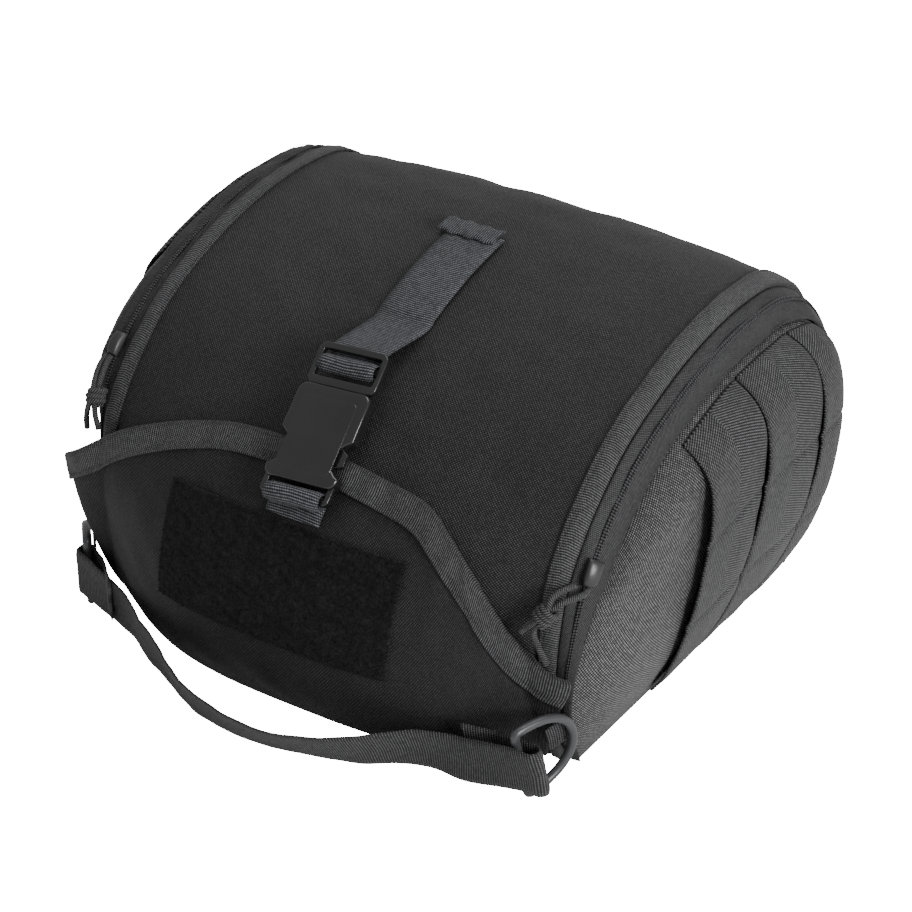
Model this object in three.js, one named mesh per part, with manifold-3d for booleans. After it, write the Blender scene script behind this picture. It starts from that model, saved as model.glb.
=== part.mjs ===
// Tactical helmet bag, lying on its flat back panel. Millimetres, +Z up.
// The flap and its buckle face -Y, the two arched end panels face -X and +X.
// The origin is the middle of the base panel, on the surface that the bag lies on.
import * as THREE from "three";
import { mergeVertices } from "three/addons/utils/BufferGeometryUtils.js";
import Module from "manifold-3d";

const wasm = await Module();
wasm.setup();

// Driving sizes of the stuffed body
const bag_depth = 218;
const bag_height = 192;
const panel_half_width = 125;
const bow_power = 3;
const top_lean = 0.013;
const shoulder_reach = 27;
const shoulder_drop = 25;
const shoulder_arc = 40;
const shoulder_turn = 1.45;
const end_bulge = 18;
const end_fullness = { across: 6, low: 2, high: 6 };
const left_flare = { reach: 1.22, drop: 0.05, turn: 0.36 };

// Walls and clearances
const panel_wall = 3;
const end_wall = 2.5;
const base_wall = 3;
const flap_wall = 2;
const binding_cloth = 1.2;
const gap = 0.3;

// Edge binding, zipper and its pulls. binding_set is measured out from panel_half_width.
const binding_set = 1;
const binding_width = 13;
const tape_width = 26;
const seam_gap = 1;
const tape_wall = 1.2;
const tape_recess = 2;
const coil_set = -3;
const coil_width = 3.6;
const coil_rise = 1;
const coil_edge_drop = 0.6;
const slider_along = { left: 0.318, right: 0.256 };
const slider_length = 13;
const slider_width = 9;
const slider_rise = 4;
const slider_end_drop = 0.35;
const slider_side_drop = 0.9;
const pull_diameter = 3;
const knot_diameter = 11;
const knot_length = 13;

// Webbing: flap closure, side bands, handle
const webbing_width = 31;
const webbing_wall = 1.6;
const band_wall = 1.6;
const band_bow = 3.2;
const band_side_inset = 0.04;
const band_end_inset = 0.4;
const band_clear = 0.8;
const tab_width = 13;
const tab_start = 18.5;
const tab_end = 28.5;

// Front flap and its fuzzy patch. The flap's overs are measured out from panel_half_width, and its
// corners stand off the body from corner_start of its half width outward.
const flap_foot_over = 0.5;
const flap_corner_over = 23;
const flap_foot_along = 0.012;
const flap_seat = 1.9;
const flap_edge_seat = 1.2;
const flap_stand = 1.9;
const flap_left_stand = 12;
const flap_right_stand = 3;
const corner_start = 0.55;
const flap_binding_width = 13;
const patch_width = 137;
const patch_middle = -4;
const patch_low = 0.112;
const patch_high = 0.227;
const patch_wall = 1.6;

// Side-release buckle
const buckle_length = 80;
const buckle_width = 40;
const buckle_wall = 8;
const buckle_place = { x: -0.8, low: 0.2445, middle: 0.31, high: 0.385, lift: 10.75, tip: -1.3, yaw: 3.9 };
const bar = 3.4;
const slot_gap = 5.4;
const socket_wall = 2;
const mouth_wall = 7;
const window_low = 8;
const window_high = 21;
const window_depth = 3.4;
const prong_reach = 9;
const catch_length = 12;
const catch_slope = 3;
const prong_tip = { rise: 6, width: 2 };
const prong_shares = { inner: 0.2, outer: 0.36, catch: 0.46 };
const frame_wall = 3.6;
const frame_inset = 1;
const shoulder_length = 5;
const buckle_corners = { frame: 4, slot: 0.8, guide: 1.2, socket: 5, cavity: 1, window: 0.6, foot: 3 };
const frame_bevel = 0.7;
const socket_bevel = 1.4;

// Rings and handle. aside is measured out from panel_half_width, ahead from the bag's front corner.
// heading is how far the handle's end turns away from the line between the rings.
const ring_wire = 4.6;
const ring_height = 43;
const ring_reach = 35;
const ring_roundness = 0.8;
const ring_straight = 0.86;
const ring_corner_step = 0.06;
const ring_arc = { first: 15, last: 165, steps: 10 };
const ring_places = {
  left: { aside: 16, ahead: 15, z: 21.7, turn: 42, lean: 3, loop: 1, heading: 28 },
  right: { aside: 7.5, ahead: 33, z: 21.6, turn: 21, lean: 13, loop: 8, heading: 0 },
};
const handle_width = 27.5;
const handle_tail = 30;
const handle_wall = 1.8;

// Sections of the skin along the arch, front foot to back foot. end_ and mid_ columns are shares
// of bag_depth and bag_height, at the end bindings and half way between them.
const skin_rows = [
  { end_depth: -0.486, end_height: 0, mid_depth: -0.638, mid_height: 0 },
  { end_depth: -0.532, end_height: 0.115, mid_depth: -0.691, mid_height: 0.115 },
  { end_depth: -0.55, end_height: 0.26, mid_depth: -0.702, mid_height: 0.26 },
  { end_depth: -0.55, end_height: 0.406, mid_depth: -0.669, mid_height: 0.406 },
  { end_depth: -0.528, end_height: 0.542, mid_depth: -0.606, mid_height: 0.542 },
  { end_depth: -0.459, end_height: 0.661, mid_depth: -0.5, mid_height: 0.672 },
  { end_depth: -0.367, end_height: 0.76, mid_depth: -0.39, mid_height: 0.776 },
  { end_depth: -0.28, end_height: 0.826, mid_depth: -0.284, mid_height: 0.844 },
  { end_depth: -0.17, end_height: 0.88, mid_depth: -0.17, mid_height: 0.901 },
  { end_depth: -0.046, end_height: 0.924, mid_depth: -0.046, mid_height: 0.95 },
  { end_depth: 0.092, end_height: 0.953, mid_depth: 0.092, mid_height: 0.983 },
  { end_depth: 0.229, end_height: 0.961, mid_depth: 0.229, mid_height: 1 },
  { end_depth: 0.367, end_height: 0.944, mid_depth: 0.367, mid_height: 0.983 },
  { end_depth: 0.472, end_height: 0.87, mid_depth: 0.482, mid_height: 0.9 },
  { end_depth: 0.529, end_height: 0.72, mid_depth: 0.541, mid_height: 0.74 },
  { end_depth: 0.542, end_height: 0.495, mid_depth: 0.564, mid_height: 0.495 },
  { end_depth: 0.53, end_height: 0.234, mid_depth: 0.553, mid_height: 0.234 },
  { end_depth: 0.5, end_height: 0, mid_depth: 0.509, mid_height: 0 },
];

// Shoulder at the same sections: drop and reach are shares of shoulder_drop and shoulder_reach, flare
// says how far the left shoulder is laid out flat.
const shoulder_rows = [
  { drop: 0.1, reach: 0.6, flare: 0 },
  { drop: 0.12, reach: 0.62, flare: 0 },
  { drop: 0.2, reach: 0.66, flare: 0 },
  { drop: 0.6, reach: 0.72, flare: 0 },
  { drop: 0.9, reach: 0.78, flare: 0.5 },
  { drop: 0.95, reach: 0.8, flare: 1 },
  { drop: 0.95, reach: 0.8, flare: 1 },
  { drop: 0.95, reach: 0.8, flare: 1 },
  { drop: 0.95, reach: 0.8, flare: 1 },
  { drop: 0.95, reach: 0.8, flare: 1 },
  { drop: 0.95, reach: 0.8, flare: 1 },
  { drop: 0.95, reach: 0.8, flare: 1 },
  { drop: 0.85, reach: 0.86, flare: 1 },
  { drop: 0.6, reach: 1.06, flare: 1 },
  { drop: 0.45, reach: 1.3, flare: 0.8 },
  { drop: 0.4, reach: 1.32, flare: 0.5 },
  { drop: 0.35, reach: 1.08, flare: 0.3 },
  { drop: 0.1, reach: 0.62, flare: 0 },
];

// Top edge of the flap: across as a share of the flap's half width, top as a share of the arch.
const flap_rows = [
  { across: -1, top: 0.19 },
  { across: -0.8, top: 0.233 },
  { across: -0.63, top: 0.26 },
  { across: -0.48, top: 0.276 },
  { across: -0.3, top: 0.287 },
  { across: 0, top: 0.289 },
  { across: 0.32, top: 0.28 },
  { across: 0.44, top: 0.272 },
  { across: 0.54, top: 0.253 },
  { across: 0.64, top: 0.228 },
  { across: 0.72, top: 0.199 },
  { across: 0.79, top: 0.17 },
  { across: 0.88, top: 0.143 },
  { across: 1, top: 0.133 },
];

// Edges of the side bands on an end panel: shares of its bottom seam and of its arched top side.
const band_rows = [
  { bottom: 0, top: 0 },
  { bottom: 0.15, top: 0.18 },
  { bottom: 0.31, top: 0.36 },
  { bottom: 0.41, top: 0.475 },
  { bottom: 0.51, top: 0.59 },
  { bottom: 0.63, top: 0.705 },
  { bottom: 0.745, top: 0.82 },
  { bottom: 0.865, top: 0.91 },
  { bottom: 0.975, top: 0.955 },
  { bottom: 1, top: 1 },
];
const band_starts = [2, 4, 6];

// Handle, from its left ring to its right one: across as a share of the way between them, out as a
// share of handle_bow in front of it, rise as a share of handle_width, tilt in degrees from flat.
const handle_bow = 50;
const handle_rows = [
  { across: 0.135, out: 0.25, rise: 0.08, tilt: 97 },
  { across: 0.205, out: 0.45, rise: 0.03, tilt: 100 },
  { across: 0.27, out: 0.6, rise: 0.01, tilt: 104 },
  { across: 0.34, out: 0.8, rise: 0.01, tilt: 110 },
  { across: 0.405, out: 0.93, rise: 0.01, tilt: 115 },
  { across: 0.5, out: 0.98, rise: 0.01, tilt: 122 },
  { across: 0.575, out: 0.92, rise: 0.01, tilt: 128 },
  { across: 0.645, out: 0.79, rise: 0.01, tilt: 127 },
  { across: 0.715, out: 0.61, rise: 0.01, tilt: 121 },
  { across: 0.77, out: 0.37, rise: 0.01, tilt: 115 },
  { across: 0.82, out: 0.2, rise: 0.01, tilt: 107 },
  { across: 0.9, out: 0.12, rise: 0.02, tilt: 97 },
];

// Routes of the zip pull cords: across and lift in mm, along as a share of the arch.
const pull_routes = {
  left: [
    { along: 0.3035, across: 149, lift: 1.8 },
    { along: 0.297, across: 148, lift: 3.3 },
    { along: 0.289, across: 145.2, lift: 5.6 },
    { along: 0.28, across: 142.8, lift: 7.4 },
    { along: 0.27, across: 141.8, lift: 8 },
    { along: 0.26, across: 141.2, lift: 8 },
    { along: 0.25, across: 140.2, lift: 8 },
    { along: 0.243, across: 138.8, lift: 7.5 },
    { along: 0.236, across: 136.6, lift: 7 },
    { along: 0.229, across: 134, lift: 6.5 },
  ],
  right: [
    { along: 0.2368, across: 149, lift: 1.8 },
    { along: 0.2325, across: 147.4, lift: 3.4 },
    { along: 0.2285, across: 143.2, lift: 5.8 },
    { along: 0.2245, across: 138.6, lift: 7.6 },
    { along: 0.2175, across: 134.4, lift: 8.7 },
    { along: 0.209, across: 131.2, lift: 9.2 },
    { along: 0.2, across: 128.4, lift: 9.6 },
    { along: 0.187, across: 127.4, lift: 9.6 },
    { along: 0.171, across: 130.6, lift: 9.3 },
    { along: 0.157, across: 134.4, lift: 9 },
  ],
};
const pull_knot_step = 5;

// Shared helpers
const vec = (x, y, z) => new THREE.Vector3(x, y, z);
const radians = THREE.MathUtils.degToRad;
const sides = [["left", -1], ["right", 1]];
const spread = (from, to, count) => (
  Array.from({ length: count + 1 }, (_, i) => from + ((to - from) * i) / count));

function curveOf(rows, first, second) {
  const points = rows.map((row) => vec(row[first], row[second], 0));
  return new THREE.CatmullRomCurve3(points, false, "catmullrom", 0.5);
}
const end_curve = curveOf(skin_rows, "end_depth", "end_height");
const mid_curve = curveOf(skin_rows, "mid_depth", "mid_height");
const shoulder_points = shoulder_rows.map(({ drop, reach, flare }) => new THREE.Vector3(drop, reach, flare));
const shoulder_curve = new THREE.CatmullRomCurve3(shoulder_points, false, "catmullrom", 0.5);

function sectionPoint(along, end_share) {
  const point = mid_curve.getPoint(along).lerp(end_curve.getPoint(along), end_share);
  return new THREE.Vector2(point.x * bag_depth, point.y * bag_height);
}

// A point of the body's skin. across is measured from the middle over the panel, and past
// panel_half_width it turns down over the rounded shoulder towards the end panel, to shoulder_reach
// out and shoulder_drop down at the end of shoulder_arc.
function skinPoint(along, across, lift = 0) {
  const side = Math.sign(across);
  const inner = Math.min(Math.abs(across), panel_half_width);
  const shoulder = shoulder_curve.getPoint(along);
  const flare = side < 0 ? shoulder.z : 0;
  const flared = (key) => 1 + (left_flare[key] - 1) * flare;
  const full_turn = shoulder_turn * flared("turn");
  const turn = ((Math.abs(across) - inner) / shoulder_arc) * full_turn;
  const end_share = (inner / panel_half_width) ** bow_power;
  const step = 0.002;
  const here = sectionPoint(along, end_share);
  const tangent = sectionPoint(Math.min(along + step, 1), end_share);
  tangent.sub(sectionPoint(Math.max(along - step, 0), end_share)).normalize();
  const fall = (shoulder.x * shoulder_drop * flared("drop")) / (1 - Math.cos(full_turn));
  const inset = fall * (1 - Math.cos(turn)) - lift * Math.cos(turn);
  const reach = (shoulder.y * shoulder_reach * flared("reach")) / Math.sin(full_turn);
  const x = side * (inner + (reach + lift) * Math.sin(turn));
  const height = here.y - tangent.x * inset;
  const leaned = height * (1 - (top_lean * x) / panel_half_width);
  const on_floor = along <= 0 || along >= 1;
  return vec(x, here.x + tangent.y * inset, on_floor ? 0 : Math.max(leaned, 0));
}

// A closed body from vertices and faces, turned so that its faces point out.
function closedBody(points, faces) {
  let volume = 0;
  for (const [a, b, c] of faces) volume += points[a].dot(vec(0, 0, 0).crossVectors(points[b], points[c]));
  const ordered = volume < 0 ? faces.map(([a, b, c]) => [a, c, b]) : faces;
  const geometry = new THREE.BufferGeometry();
  const numbers = points.flatMap((point) => point.toArray());
  geometry.setAttribute("position", new THREE.Float32BufferAttribute(numbers, 3));
  geometry.setIndex(ordered.flat());
  return geometry;
}

// A wall between two grids of points. With loop the first index runs round and closes.
function slab(outer, inner, loop = false) {
  const rows = outer.length;
  const columns = outer[0].length;
  const points = [...outer.flat(), ...inner.flat()];
  const layer = rows * columns;
  const at = (i, j, below) => (i % rows) * columns + j + (below ? layer : 0);
  const faces = [];
  const quad = (a, b, c, d) => faces.push([a, b, c], [a, c, d]);
  const last_row = loop ? rows : rows - 1;
  for (let i = 0; i < last_row; i += 1) {
    for (let j = 0; j < columns - 1; j += 1) {
      quad(at(i, j), at(i + 1, j), at(i + 1, j + 1), at(i, j + 1));
      quad(at(i, j, true), at(i, j + 1, true), at(i + 1, j + 1, true), at(i + 1, j, true));
    }
    quad(at(i, 0, true), at(i + 1, 0, true), at(i + 1, 0), at(i, 0));
    const edge = columns - 1;
    quad(at(i, edge), at(i + 1, edge), at(i + 1, edge, true), at(i, edge, true));
  }
  if (!loop) {
    for (let j = 0; j < columns - 1; j += 1) {
      quad(at(0, j), at(0, j + 1), at(0, j + 1, true), at(0, j, true));
      const end = rows - 1;
      quad(at(end, j, true), at(end, j + 1, true), at(end, j + 1), at(end, j));
    }
  }
  return closedBody(points, faces);
}

const gridOf = (rows, columns, point) => rows.map((row) => columns.map((column) => point(row, column)));

function merged(geometry) {
  const bare = geometry.clone();
  bare.deleteAttribute("normal");
  bare.deleteAttribute("uv");
  return mergeVertices(bare, 1e-4);
}
function toSolid(geometry) {
  const bare = merged(geometry);
  return new wasm.Manifold(new wasm.Mesh({
    numProp: 3,
    vertProperties: bare.attributes.position.array,
    triVerts: Uint32Array.from(bare.index.array),
  }));
}
function fromSolid(solid) {
  const mesh = solid.getMesh();
  const geometry = new THREE.BufferGeometry();
  geometry.setAttribute("position", new THREE.BufferAttribute(Float32Array.from(mesh.vertProperties), 3));
  geometry.setIndex(new THREE.BufferAttribute(Uint32Array.from(mesh.triVerts), 1));
  return geometry;
}

// Materials, one slot each
const finish = (color, roughness, metalness = 0) => (
  new THREE.MeshStandardMaterial({ color, roughness, metalness }));
const materials = {
  body_cloth: finish(0x1b1b1d, 0.9),
  flap_cloth: finish(0x1a1a1c, 0.9),
  ribbed_tape: finish(0x222226, 0.85),
  webbing: finish(0x26272b, 0.8),
  loop_pile: finish(0x141416, 1),
  buckle_plastic: finish(0x1c1c1f, 0.35),
  ring_plastic: finish(0x3a3b3f, 0.4),
  zip_cord: finish(0x29292c, 0.85),
  zip_metal: finish(0x2a2a2c, 0.4, 0.6),
};

const bag = new THREE.Group();
function add(name, geometry, material) {
  const mesh = new THREE.Mesh(geometry, materials[material]);
  mesh.name = name;
  bag.add(mesh);
  return mesh;
}

// Stations shared by the skin and what lies on it, so that their facets run parallel
const binding_start = panel_half_width + binding_set;
const binding_end = binding_start + binding_width;
const tape_end = binding_end + tape_width;
const arch_steps = 32;
const arch = spread(0, 1, arch_steps);
const across_shares = [0, 0.3, 0.52, 0.7, 0.84, 0.93, 1];
const half_stations = across_shares.map((share) => share * panel_half_width);
const panel_edge = binding_end - binding_cloth - gap;
const edge_stations = [...half_stations, (panel_half_width + panel_edge) / 2, panel_edge];
const panel_stations = [...edge_stations.slice(1).reverse().map((a) => -a), ...edge_stations];

function buildMainPanel() {
  const outer = gridOf(arch, panel_stations, (along, across) => skinPoint(along, across));
  const inner = gridOf(arch, panel_stations, (along, across) => skinPoint(along, across, -panel_wall));
  add("main_panel", slab(outer, inner), "body_cloth");
}

const seam_lift = -tape_recess - tape_wall / 2 - gap * 3;
const seam_across = tape_end + seam_gap;

// Base panel: it fits inside the foot of the walls
function buildBasePanel() {
  const clear = panel_wall + binding_cloth + gap * 4;
  const end_x = skinPoint(0, seam_across, seam_lift).x - end_wall - gap * 2;
  const stations = [...half_stations, binding_end];
  const both = [...stations.slice(1).reverse().map((a) => -a), ...stations];
  const layer = (height) => both.map((across) => {
    const x = Math.sign(across) * Math.min(Math.abs(across), end_x);
    const front = skinPoint(0, across).y + clear;
    const back = skinPoint(1, across).y - clear;
    return [front, (front + back) / 2, back].map((y) => vec(x, y, height));
  });
  add("base_panel", slab(layer(base_wall), layer(0)), "body_cloth");
}

// End panels: a stretched patch between the shoulder's edge and the floor, bulging out. Its front
// edge takes the first stations of the arch, its back edge the last, its top edge the rest.
const end_front_steps = 9;
const end_back_steps = 7;
const end_top_front = end_front_steps / arch_steps;
const end_top_back = 1 - end_back_steps / arch_steps;
const end_rows = spread(0, 1, end_front_steps);

function endPanelPoint(side, row, rise) {
  const edge = (along) => skinPoint(along, side * seam_across, seam_lift);
  const front = edge(rise * end_top_front);
  const back = edge(1 - rise * (1 - end_top_back));
  const bottom = edge(0).lerp(edge(1), row.bottom);
  const top = edge(end_top_front + row.top * (end_top_back - end_top_front));
  const corners = [edge(0), edge(1), edge(end_top_front), edge(end_top_back)];
  const u = row.bottom + (row.top - row.bottom) * rise;
  const point = front.multiplyScalar(1 - u).addScaledVector(back, u);
  point.addScaledVector(bottom, 1 - rise).addScaledVector(top, rise);
  point.addScaledVector(corners[0], -(1 - u) * (1 - rise)).addScaledVector(corners[1], -u * (1 - rise));
  point.addScaledVector(corners[2], -(1 - u) * rise).addScaledVector(corners[3], -u * rise);
  const power = rise < 0.5 ? end_fullness.low : end_fullness.high;
  const fullness = (1 - (2 * u - 1) ** end_fullness.across) * (1 - Math.abs(2 * rise - 1) ** power);
  point.x += side * end_bulge * fullness;
  point.z = rise === 0 ? 0 : point.z;
  return point;
}
const endGrid = (side) => gridOf(band_rows, end_rows, (row, rise) => endPanelPoint(side, row, rise));
const shifted = (grid, x) => grid.map((row) => row.map((point) => point.clone().add(vec(x, 0, 0))));

function buildEndPanel(name, side) {
  const outer = endGrid(side);
  add(name, slab(outer, shifted(outer, -side * end_wall)), "body_cloth");
}

// Side bands: webbing sewn in at its ends, standing off the panel between them
function buildSideBand(name, side, start) {
  const grid = endGrid(side);
  const columns = [
    grid[start].map((point, j) => point.clone().lerp(grid[start + 1][j], band_side_inset)),
    grid[start + 1],
    grid[start + 2].map((point, j) => point.clone().lerp(grid[start + 1][j], band_side_inset)),
  ];
  const last = end_rows.length - 1;
  const trimmed = columns.map((column) => column.map((point, j) => {
    if (j === 0) return point.clone().lerp(column[1], band_end_inset);
    if (j === last) return point.clone().lerp(column[last - 1], band_end_inset);
    return point.clone();
  }));
  const stand = (j) => band_clear + band_bow * Math.sin(Math.PI * end_rows[j]) ** 1.5;
  const under = trimmed.map((column) => (
    column.map((point, j) => point.clone().add(vec(side * stand(j), 0, 0)))));
  add(name, slab(shifted(under, side * band_wall), under), "webbing");
}

// Edge binding: ribbed tape folded over the panel's edge
function buildEdgeBinding(name, side) {
  const over = binding_cloth + gap;
  const under = -panel_wall - gap - binding_cloth;
  const middle = (binding_start + binding_end) / 2;
  const outer_path = [
    [binding_start, over], [middle, over], [binding_end, over - gap],
    [binding_end, under + gap], [middle, under],
  ];
  const edge = binding_end - binding_cloth;
  const inner_path = [
    [binding_start, gap], [middle, gap], [edge, gap],
    [edge, -panel_wall - gap], [middle, -panel_wall - gap],
  ];
  const grid = (path) => (
    gridOf(arch, path, (along, [across, lift]) => skinPoint(along, side * across, lift)));
  add(name, slab(grid(outer_path), grid(inner_path)), "ribbed_tape");
}

// Zipper: tape from the binding to the end panel, and the closed coil along its middle
const tape_top = -tape_recess + tape_wall / 2;
const coil_middle = (binding_end + tape_end) / 2 + coil_set;

function buildZipper(side_name, side) {
  const coil_edges = [coil_middle - coil_width / 2, coil_middle, coil_middle + coil_width / 2];
  const stations = [binding_end + gap, ...coil_edges, tape_end];
  const layer = (lift) => gridOf(arch, stations, (along, across) => skinPoint(along, side * across, lift));
  add(`zipper_tape_${side_name}`, slab(layer(tape_top), layer(tape_top - tape_wall)), "ribbed_tape");
  const turns = [-1, 0, 1];
  const coil_arch = arch.slice(1, -1);
  const seat = tape_top + gap;
  const ridge = gridOf(coil_arch, turns, (along, turn) => {
    const rise = seat + coil_rise * (1 - coil_edge_drop * turn * turn);
    return skinPoint(along, side * (coil_middle + (turn * coil_width) / 2), rise);
  });
  const foot = gridOf(coil_arch, turns, (along, turn) => (
    skinPoint(along, side * (coil_middle + (turn * coil_width) / 2), seat)));
  add(`zipper_coil_${side_name}`, slab(ridge, foot), "ribbed_tape");
}

function buildSlider(side_name, side) {
  const step = 0.01;
  const middle = slider_along[side_name];
  const at = (along) => skinPoint(along, side * coil_middle);
  const pace = at(middle + step).distanceTo(at(middle - step)) / (step * 2);
  const half_along = slider_length / 2 / pace;
  const lengths = spread(middle - half_along, middle + half_along, 4);
  const widths = [-0.5, -0.35, 0, 0.35, 0.5];
  const low = tape_top + gap * 3 + coil_rise;
  const point = (along, width, lift) => (
    skinPoint(along, side * (coil_middle + width * slider_width), lift));
  const crown = (along, width) => {
    const end_share = Math.abs(along - middle) / half_along;
    const end_crown = 1 - slider_end_drop * end_share ** 2;
    return low + slider_rise * end_crown * (1 - slider_side_drop * width ** 2);
  };
  const top = gridOf(lengths, widths, (along, width) => point(along, width, crown(along, width)));
  const foot = gridOf(lengths, widths, (along, width) => point(along, width, low));
  add(`zip_slider_${side_name}`, slab(top, foot), "zip_metal");
}

// Zip pull: a cord along hand-chosen points, and the knot that sits on it. wide is a share of the
// knot's radius, far of its half length.
const knot_rows = [
  { wide: 0.75, far: -0.9 },
  { wide: 1, far: -0.3 },
  { wide: 1, far: 0.3 },
  { wide: 0.75, far: 0.9 },
];

function buildPull(side_name, side) {
  const points = pull_routes[side_name].map((row) => skinPoint(row.along, side * row.across, row.lift));
  const path = new THREE.CatmullRomCurve3(points, false, "catmullrom", 0.5);
  const ring = new THREE.Shape();
  ring.absarc(0, 0, pull_diameter / 2, 0, Math.PI * 2);
  const along_path = { steps: 16, curveSegments: 4, bevelEnabled: false, extrudePath: path };
  add(`zip_cord_${side_name}`, new THREE.ExtrudeGeometry(ring, along_path), "zip_cord");
  const bore = pull_diameter / 2 + gap * 4;
  const radius = knot_diameter / 2;
  const half = knot_length / 2;
  const rim = knot_rows.map((row) => new THREE.Vector2(row.wide * radius, row.far * half));
  const hole = [-half, half].map((end) => new THREE.Vector2(bore, end));
  const knot = new THREE.LatheGeometry([hole[0], ...rim, hole[1], hole[0]], 10);
  const mesh = add(`zip_knot_${side_name}`, knot, "zip_cord");
  const share = pull_knot_step / (points.length - 1);
  mesh.position.copy(path.getPoint(share));
  mesh.quaternion.setFromUnitVectors(vec(0, 1, 0), path.getTangent(share));
}

// Front flap: an apron with an arched, bound top edge, standing off the body
const flap_foot_half = panel_half_width + flap_foot_over;
const flap_corner_half = panel_half_width + flap_corner_over;
const top_curve = curveOf(flap_rows, "across", "top");
function flapTop(share) {
  let low = 0;
  let high = 1;
  for (let i = 0; i < 30; i += 1) {
    const middle = (low + high) / 2;
    if (top_curve.getPoint(middle).x < share) low = middle;
    else high = middle;
  }
  return top_curve.getPoint((low + high) / 2).y;
}
function flapLift(share, up) {
  const belly = flap_stand * Math.sin(Math.PI * up ** 0.8) * (1 - share ** 4);
  const corner_stand = share < 0 ? flap_left_stand : flap_right_stand;
  const corner_share = Math.max(0, (Math.abs(share) - corner_start) / (1 - corner_start));
  const corner = corner_stand * (corner_share * up) ** 1.5;
  return flap_seat + flap_edge_seat * up + belly + corner;
}
function flapPoint(share, up, lift = 0) {
  const half = flap_foot_half + (flap_corner_half - flap_foot_half) * up;
  const along = flap_foot_along + up * (flapTop(share) - flap_foot_along);
  return skinPoint(along, share * half, flapLift(share, up) + lift);
}
const flap_shares = [
  -1, -0.93, -0.85, -0.75, -0.62, -0.45, -0.25, 0, 0.22, 0.4, 0.53, 0.64, 0.75, 0.85, 0.93, 1,
];
const flap_ups = [0, 0.12, 0.26, 0.42, 0.58, 0.74, 0.88, 1];

function buildFlap() {
  const layer = (lift) => gridOf(flap_shares, flap_ups, (share, up) => flapPoint(share, up, lift));
  add("front_flap", slab(layer(flap_wall), layer(0)), "flap_cloth");
}

function buildFlapBinding() {
  const step = 0.2;
  const band = (share) => {
    const length = flapPoint(share, 1).distanceTo(flapPoint(share, 1 - step)) / step;
    return flap_binding_width / length;
  };
  const out = binding_cloth + gap;
  const clear = flap_wall + gap * 2.5;
  const clear_under = gap * 3;
  const top = clear + binding_cloth;
  const bottom = -clear_under - binding_cloth;
  const strips = (paths) => flap_shares.map((share) => {
    const width = band(share);
    const millimetre = width / flap_binding_width;
    return paths.map(([back, lift]) => flapPoint(share, 1 + back * millimetre, lift));
  });
  const half = -flap_binding_width / 2;
  const under_half = half / 2;
  const outer = strips([
    [-flap_binding_width, top], [half, top], [out, top], [out, bottom], [under_half, bottom],
  ]);
  const inner = strips([
    [-flap_binding_width, clear], [half, clear], [gap, clear],
    [gap, -clear_under], [under_half, -clear_under],
  ]);
  add("flap_binding", slab(outer, inner), "ribbed_tape");
}

// A point on the flap at a given place of the skin, for what is sewn to the flap
function onFlap(along, across, lift) {
  const guess = (along - flap_foot_along) / (flapTop(across / flap_corner_half) - flap_foot_along);
  const up = THREE.MathUtils.clamp(guess, 0, 1);
  const half = flap_foot_half + (flap_corner_half - flap_foot_half) * up;
  return skinPoint(along, across, flapLift(across / half, up) + flap_wall + lift);
}

function buildPatch() {
  const across = spread(patch_middle - patch_width / 2, patch_middle + patch_width / 2, 8);
  const heights = spread(patch_low, patch_high, 4);
  const layer = (lift) => gridOf(across, heights, (x, along) => onFlap(along, x, lift));
  add("loop_patch", slab(layer(gap * 2 + patch_wall), layer(gap * 2)), "loop_pile");
}

// Ribbons: a strip of webbing along a path, with its own width direction and thickness at each step
function ribbon(steps, width, wall) {
  const edges = [-0.5, 0, 0.5];
  const side = (amount) => steps.map(({ point, across, normal }) => edges.map((edge) => (
    point.clone().addScaledVector(across, edge * width).addScaledVector(normal, amount))));
  return slab(side(wall / 2), side(-wall / 2));
}

// Buckle frame: a local frame on the slope of the front, x across, y up the slope, z outward
const buckle_foot = skinPoint(buckle_place.low, buckle_place.x);
const buckle_head = skinPoint(buckle_place.high, buckle_place.x);
const buckle_rise = buckle_head.clone().sub(buckle_foot);
const buckle_slope = Math.atan2(buckle_rise.z, buckle_rise.y) + radians(buckle_place.tip);
const buckle_out = vec(0, -Math.sin(buckle_slope), Math.cos(buckle_slope));
const buckle_centre = skinPoint(buckle_place.middle, buckle_place.x);
buckle_centre.addScaledVector(buckle_out, buckle_place.lift);
const buckle_frame = new THREE.Matrix4()
  .makeTranslation(buckle_centre)
  .multiply(new THREE.Matrix4().makeRotationX(buckle_slope))
  .multiply(new THREE.Matrix4().makeRotationZ(radians(buckle_place.yaw)));
const top_bar = buckle_length / 2 - bar / 2;
const second_bar = top_bar - bar - slot_gap;
const low_bar = -top_bar;
const socket_top = second_bar - bar / 2 - slot_gap - shoulder_length;
const socket_low = low_bar + bar / 2 + slot_gap;

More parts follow.
